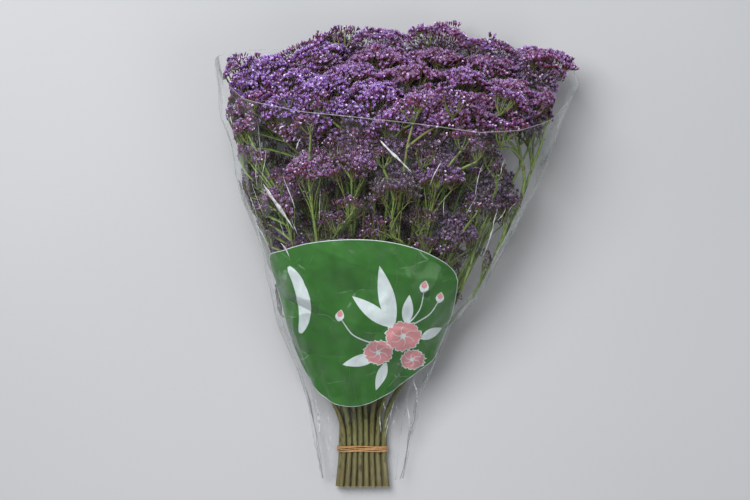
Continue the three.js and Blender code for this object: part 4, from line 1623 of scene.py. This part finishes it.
@dataclass
class RubberBand:
    """A rubber band, wound a few times round the stems."""

    bundle: StemBundle
    wraps: int = 4
    thick: float = 0.8
    tall: float = 1.25
    pitch: float = 2.15
    steps: int = 84
    sides: int = 8

    def build(self) -> Object:
        """Sweeps the wraps round the stems in one closed cord."""
        points, faces = [], []
        count, sides = self.steps, self.sides
        outline = even_steps(self.bundle.outline(self.bundle.gap + self.thick), count)
        for wrap in range(self.wraps):
            y = self.bundle.tie_y + (wrap - (self.wraps - 1) / 2) * self.pitch
            for i, (x, z) in enumerate(outline):
                step = outline[(i + 1) % count] - outline[i - 1]
                out = unit(np.array([step[1], 0, -step[0]]))
                turn = math.tau * i / count
                wave = 0.5 * math.sin(3 * turn + wrap * 1.9) + 0.4 * math.sin(turn + wrap)
                middle = np.array([x, y + wave, z]) + out * 0.25 * (wrap % 2)
                for side in range(sides):
                    turn = math.tau * side / sides
                    rise = UP_THE_BUNCH * self.thick * self.tall * math.sin(turn)
                    points.append(middle + out * self.thick * math.cos(turn) + rise)
            for i in range(count):
                here, there = ((wrap * count + k % count) * sides for k in (i, i + 1))
                for side in range(sides):
                    after = (side + 1) % sides
                    faces.append((here + side, there + side, there + after, here + after))
        return make_piece("rubber_band_wraps", points, faces, RUBBER)


@dataclass
class FilmSleeve:
    """The clear film sleeve: one creased cone of thin wall."""

    shape: SleeveForm = field(default_factory=SleeveForm)
    arc_steps: int = 168
    flat_steps: int = 14
    bands: int = 74
    painted_rim_highlight_band: float = 1.6 / 560
    wall: float = 0.3

    def build(self) -> Object:
        """Makes the film, with its rim marked for a painted highlight."""
        shape = self.shape
        corner = math.degrees(math.asin(shape.flat))
        arc = np.linspace(-corner, 180 + corner, self.arc_steps + 1)
        share = np.arange(1, self.flat_steps) / self.flat_steps
        edge = math.cos(math.radians(corner))
        degrees = np.concatenate([arc, 180 + corner + (360 - 2 * corner - 180) * share])
        across = np.concatenate([np.cos(np.radians(arc)), -edge + 2 * edge * share])
        front = np.concatenate([np.sin(np.radians(arc)), np.full(len(share), -shape.flat)])
        rise = shape.rim_at(degrees) - shape.foot
        count = len(degrees)
        marks = np.sort(np.append(np.linspace(0, 1, self.bands + 1), 1 - self.painted_rim_highlight_band))
        rings = [shape.surface(degrees, across, front, shape.foot + rise * mark) for mark in marks]
        points = np.concatenate(rings)
        faces = []
        for low in range(0, len(points) - count, count):
            for i in range(count):
                j = (i + 1) % count
                faces.append((low + j, low + i, low + count + i, low + count + j))
        piece = make_piece("film_sleeve_sheet", points, faces, FILM, wall=self.wall)
        # the top ring gets a painted highlight along the film's cut edge
        painted_rim_highlight = np.zeros(len(points), np.float32)
        painted_rim_highlight[-count:] = 1.0
        piece.data.attributes.new("rim", "FLOAT", "POINT").data.foreach_set("value", painted_rim_highlight)
        return piece

    def flat_size(self, piece: Object) -> tuple[tuple[float, float], float]:
        """Gives the width and length of the sheet that the sleeve was cut from, and its area, in metres."""
        area = sum(face.area for face in piece.data.polygons)
        count = self.arc_steps + self.flat_steps
        top = [v.co for v in piece.data.vertices[-count:]]
        round_it = sum((top[i] - top[i - 1]).length for i in range(count))
        seam = [v.co for v in list(piece.data.vertices)[::count]]
        length = sum((high - low).length for low, high in zip(seam, seam[1:]))
        return (round(round_it, 3), round(length, 3)), round(area, 4)


@dataclass
class PaintedFilmGlints:
    """Painted glints on the film: thin slivers of whitened plastic that follow its surface and stand for
    light caught on it.

    A marked glint has the x and y of its two ends and half its width.
    """

    shape: SleeveForm = field(default_factory=SleeveForm)
    marked: Rows = (
        (26, 515, 70, 468, 2.2), (-137, 457, -98, 391, 3.4), (-116, 372, -101, 352, 1.4),
        (-92, 503, -84, 518, 1.1), (-116, 531, -108, 537, 1.3), (112, 488, 96, 452, 0.8),
        (78, 170, 84, 96, 1.6), (92, 182, 100, 120, 1.0), (70, 128, 74, 60, 1.3), (140, 250, 118, 196, 1.3),
        (152, 276, 134, 236, 1.0), (-72, 150, -66, 92, 1.0), (196, 420, 172, 352, 1.1),
    )
    random_count: int = 34
    seed: int = 12
    steps: int = 12
    wall: float = 0.1
    outset: float = 0.35

    def small_painted_glints(self) -> list[tuple[float, ...]]:
        """Gives the small painted glints, which have random places and run along the bunch."""
        chance = random.Random(self.seed)
        painted_glints = []
        for _ in range(self.random_count):
            y = chance.choice((chance.uniform(50, 130), chance.uniform(380, 500), chance.uniform(150, 380)))
            half_width, _, middle = self.shape.form.at(y)
            hand = chance.choice((-1, 1))
            across = hand * (chance.uniform(0.86, 0.97) if 130 < y < 380 else chance.uniform(0.35, 0.93))
            length = chance.uniform(14, 60)
            top_half, _, top_middle = self.shape.form.at(y + length)
            x = top_middle + (across + chance.uniform(-0.04, 0.04)) * top_half
            painted_glints.append((middle + across * half_width, y, x, y + length, chance.uniform(0.3, 0.8)))
        return painted_glints

    def build(self) -> Object:
        """Makes all the slivers as one piece."""
        points, faces = [], []
        count = self.steps + 1
        share = np.linspace(0, 1, count)
        for number, (x0, y0, x1, y1, half) in enumerate([*self.marked, *self.small_painted_glints()]):
            bend = 1.1 * np.sin(share * math.pi * 1.3 + x0)
            width = half * np.sin(np.pi * share**0.8) * (0.75 + 0.25 * np.sin(share * 17 + y0))
            normal = np.array([y1 - y0, x0 - x1]) / math.hypot(x1 - x0, y1 - y0)
            for hand in (-1, 1):
                x = x0 + (x1 - x0) * share + normal[0] * (bend + hand * width)
                y = y0 + (y1 - y0) * share + normal[1] * (bend + hand * width)
                points.append(self.shape.on_front(x, y, -self.outset))
            first = 2 * count * number
            faces += [(i, i + 1, i + count + 1, i + count) for i in range(first, first + self.steps)]
        # the slivers are painted glints, milky plastic laid just outside the film
        return make_piece("film_folds", np.vstack(points), faces, PAINTED_GLINT, wall=self.wall)


@dataclass
class FilmPrint:
    """The printed patch on the film's front: green with a pale edge, leaf sprigs and small blossoms."""

    shape: SleeveForm = field(default_factory=SleeveForm)
    inset: float = 0.5
    border: float = 0.9
    grid: float = 4.0
    wall: float = 0.1
    edge_steps: int = 150
    corner_cuts: int = 6
    outline: Rows = (
        (-135, 352), (-112, 362), (-85, 370), (-52, 375), (-18, 377), (18, 376), (52, 371), (84, 362),
        (110, 350), (128, 338), (137, 325), (138, 300), (134, 270), (126, 240), (112, 212), (90, 186),
        (62, 164), (32, 144), (4, 131), (-20, 128), (-42, 133), (-62, 146), (-82, 172), (-98, 205),
        (-110, 240), (-119, 275), (-126, 310),
    )
    crescent_half: float = 9.0
    stem_half: float = 1.2
    vein_half: float = 0.55
    crescent: Rows = ((-104, 338), (-92, 318), (-84, 290), (-84, 262), (-90, 240))
    leaves: Rows = (
        (46, 250, 92, 12, 103), (46, 250, 76, 10.5, 143), (64, 254, 44, 8, 84), (84, 232, 38, 7.5, 24),
        (22, 206, 52, 9, 194), (36, 197, 46, 7.5, 250),
    )
    stems: tuple[Rows, ...] = (
        ((62, 250), (84, 276), (90, 304)), ((66, 250), (98, 268), (112, 288)),
        ((20, 224), (-12, 238), (-30, 262)),
    )
    buds: Rows = ((90, 309, 9), (114, 293, 8), (-32, 267, 8.5))
    blossoms: Rows = ((60, 236, 27, 0.2), (24, 212, 22, 1.3), (76, 200, 18, 2.2))

    @staticmethod
    def leaf(x: float, y: float, length: float, half: float, degrees: float) -> Array:
        """Gives the outline of a pointed leaf that grows from a point."""
        share = np.linspace(0, 1, 13)
        width = half * np.sin(np.pi * share**0.85) ** 0.9
        near, far = (np.stack([share * length, side * width], -1) for side in (1, -1))
        a = math.radians(degrees)
        turn = np.array([[math.cos(a), math.sin(a)], [-math.sin(a), math.cos(a)]])
        return np.concatenate([near, far[-2:0:-1]]) @ turn + (x, y)

    @staticmethod
    def blossom(x: float, y: float, radius: float, turn: float) -> Array:
        """Gives the outline of a small five-petalled blossom."""
        a = np.linspace(0, math.tau, 50, endpoint=False)
        r = radius * (0.58 + 0.42 * np.abs(np.cos(2.5 * a)) ** 0.55)
        return np.stack([x + r * np.cos(a + turn), y + r * np.sin(a + turn)], -1)

    @staticmethod
    def frilled(x: float, y: float, radius: float, turn: float) -> Array:
        """Gives the outline of a full, frilled blossom."""
        a = np.linspace(0, math.tau, 96, endpoint=False)
        petals = 0.84 + 0.1 * np.abs(np.cos(3.5 * a + 0.4)) ** 0.6
        r = radius * (petals + 0.045 * np.sin(17 * a) + 0.03 * np.sin(29 * a + x))
        return np.stack([x + r * np.cos(a + turn), y + 0.86 * r * np.sin(a + turn)], -1)

    @staticmethod
    def stem(points: Rows, half: float, is_crescent: bool = False) -> Array:
        """Gives the outline of a thin curved stem that tapers, or of a crescent."""
        line, _ = smooth_path(points, [1.0] * len(points), 8)
        tangent = np.gradient(line, axis=0)
        normal = np.stack([-tangent[:, 1], tangent[:, 0]], -1)
        normal /= np.linalg.norm(normal, axis=1)[:, None]
        width = np.linspace(half, half * 0.5, len(line))[:, None]
        if is_crescent:
            width = half * np.sqrt(np.sin(np.pi * np.linspace(0.02, 0.98, len(line))))[:, None]
        return np.concatenate([line + normal * width, (line - normal * width)[::-1]])

    def motifs(self) -> list[tuple[Array, int]]:
        """Gives the shapes of the print with the number of their ink: 0 green, 1 white, 2 pink."""
        found = [(self.stem(self.crescent, self.crescent_half, is_crescent=True), 1)]
        found += [(self.leaf(*leaf), 1) for leaf in self.leaves]
        found += [(self.stem(points, self.stem_half), 1) for points in self.stems]
        for x, y, radius in self.buds:
            found.append((self.leaf(x - 2, y - radius, 2.1 * radius, 0.75 * radius, 78), 1))
            found.append((self.leaf(x - 1, y - 0.3 * radius, 1.25 * radius, 0.5 * radius, 78), 2))
        for x, y, radius, turn in self.blossoms:
            found.append((self.frilled(x, y, radius + 1.6, turn), 1))
            found.append((self.frilled(x, y, radius, turn), 2))
            for petal in range(6):
                angle = turn + petal * 1.05 + 0.3
                tip = (x + 0.72 * radius * math.cos(angle), y + 0.6 * radius * math.sin(angle))
                bent = angle + 0.35
                middle = (x + 0.42 * radius * math.cos(bent), y + 0.36 * radius * math.sin(bent))
                found.append((self.stem(((x, y), middle, tip), self.vein_half), 1))
            found.append((self.blossom(x, y, radius * 0.17, turn), 1))
        return found

    def build(self) -> Object:
        """Makes the patch as one thin layer that follows the film."""
        corners = [*self.outline, *self.outline[:2]]
        rounded, _ = smooth_path(corners, [1.0] * len(corners), self.corner_cuts)
        edge = even_steps(rounded[self.corner_cuts : -1], self.edge_steps)
        tangent = np.roll(edge, -1, 0) - np.roll(edge, 1, 0)
        inward = np.stack([tangent[:, 1], -tangent[:, 0]], -1) / np.linalg.norm(tangent, axis=1)[:, None]
        shapes = [(edge, 1), (edge + inward * self.border, 0), *self.motifs()]
        points: list[tuple[float, float]] = []
        loops: list[list[int]] = []
        for shape, _ in shapes:
            x, y = shape.T
            is_clockwise = (x * np.roll(y, -1) - y * np.roll(x, -1)).sum() < 0
            loops.append(list(range(len(points), len(points) + len(shape))))
            points += [tuple(p) for p in (shape[::-1] if is_clockwise else shape)]
        low, high = edge.min(0), edge.max(0)
        for x in np.arange(low[0], high[0], self.grid):
            points += [(float(x), float(y)) for y in np.arange(low[1], high[1], self.grid)]
        flat, _, faces, _, _, sources = delaunay_2d_cdt(points, [], loops, 1, 1e-4)
        kept = [(face, shapes[max(source)][1]) for face, source in zip(faces, sources) if 0 in source]
        x, y = np.array([tuple(p) for p in flat]).T
        on_film = self.shape.on_front(x, y, self.inset)
        inks = (GREEN_INK, WHITE_INK, PINK_INK)
        piece = make_piece("film_print", on_film, [face for face, _ in kept], *inks, wall=self.wall)
        piece.data.polygons.foreach_set("material_index", [ink for _, ink in kept])
        return piece


# The studio


@dataclass
class Studio:
    """The floor, the lights and the camera, in metres."""

    look_at: Place = (-0.011, -0.038, 0.14)
    camera_height: float = 2.6
    view_width: float = 1.095
    sensor_mm: float = 36
    air_tone: str = "#e9ebef"
    air_strength: float = 0.32
    lights: tuple[tuple[str, Place, float, float], ...] = (
        ("key", (-0.75, 0.9, 2.4), 1.5, 72.0), ("fill", (1.4, -0.9, 2.2), 1.4, 11.0),
    )
    floor_half_mm: float = 6000
    floor_drop_mm: float = 0.5

    def build(self) -> None:
        """Sets up the floor, the soft lights and the camera that looks down on the bunch."""
        scene = bpy.context.scene
        scene.view_settings.view_transform = "Standard"
        self.floor()
        for light in self.lights:
            self.light(*light)
        scene.world = bpy.data.worlds.new("studio_air")
        scene.world.use_nodes = True
        air = scene.world.node_tree.nodes["Background"].inputs
        air["Color"].default_value = linear(self.air_tone)
        air["Strength"].default_value = self.air_strength
        scene.camera = bpy.data.objects.new("camera", bpy.data.cameras.new("camera"))
        scene.camera.data.sensor_width = self.sensor_mm
        scene.camera.data.lens = self.sensor_mm * self.camera_height / self.view_width
        scene.camera.location = (*self.look_at[:2], self.look_at[2] + self.camera_height)
        scene.collection.objects.link(scene.camera)

    def floor(self) -> None:
        """Lays the floor just under the film."""
        half = self.floor_half_mm
        corners = np.array([(-half, -half, 0), (half, -half, 0), (half, half, 0), (-half, half, 0)], float)
        corners += REST_POINT - (0, 0, self.floor_drop_mm)
        made = bpy.data.meshes.new("floor")
        made.from_pydata(to_frame(corners).tolist(), [], [(0, 1, 2, 3)])
        made.materials.append(BackdropFinish().material())
        make_object("floor", made)

    def light(self, name: str, place: Place, size: float, power: float) -> None:
        """Hangs a square soft box that faces the bunch."""
        data = bpy.data.lights.new(name, "AREA")
        data.size = size
        data.energy = power
        made = bpy.data.objects.new(name, data)
        made.location = place
        made.rotation_euler = (Vector(self.look_at) - Vector(place)).to_track_quat("-Z", "Y").to_euler()
        bpy.context.scene.collection.objects.link(made)


def main() -> None:
    """Builds the bunch in order and reports each piece."""
    logging.basicConfig(level=logging.INFO, format="%(message)s")
    total = 0

    def report(piece: Object, slot: str, *nodes: str) -> None:
        """Rides a piece on the bunch, hides the CAD parts that it stands for, and logs it."""
        nonlocal total
        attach(piece, "root")
        if nodes:
            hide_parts(*nodes)
        count = sum(len(face.vertices) - 2 for face in piece.data.polygons) * (2 if piece.modifiers else 1)
        total += count
        LOG.info("%s: %d triangles", piece.name, count)

    Studio().build()
    layout = Layout()
    bundle = StemBundle()
    heads = [FlowerHead(plan, layout) for plan in layout.heads]
    growths = {f"{head.plan.name}_florets": head.grow() for head in heads}
    by_spray = [[head for head in heads if head.plan.spray == number] for number in range(len(SPRAYS))]
    sprays = [Spray(number, mine, bundle) for number, mine in enumerate(by_spray)]
    for plan, spray in zip(SPRAYS, sprays):
        growths[f"{plan.name}_green"], growths[f"{plan.name}_sprigs"] = spray.grow()
    Understorey(layout, sprays).grow([growths[f"{plan.name}_sprigs"] for plan in SPRAYS])
    gardener = Gardener()
    pieces = gardener.grow(growths)
    gardener.clear()
    for name, piece in pieces.items():
        if name.endswith("_florets"):
            report(piece, "florets", name.removesuffix("_florets"))
        elif name.endswith("_sprigs"):
            report(piece, "florets")
        else:
            report(piece, "stem_green", name.removesuffix("_green") + "_stem")
    report(RubberBand(bundle).build(), "rubber", "rubber_band")
    sleeve = FilmSleeve()
    film = sleeve.build()
    report(film, "clear_film", "film_sleeve")
    report(FilmPrint().build(), "clear_film")
    report(PaintedFilmGlints().build(), "clear_film")
    flat, area = sleeve.flat_size(film)
    LOG.info("film laid flat: %s, %.3f square metres", flat, area)
    LOG.info("triangles in all: %d", total)
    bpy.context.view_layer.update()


if __name__ == "__main__":
    main()
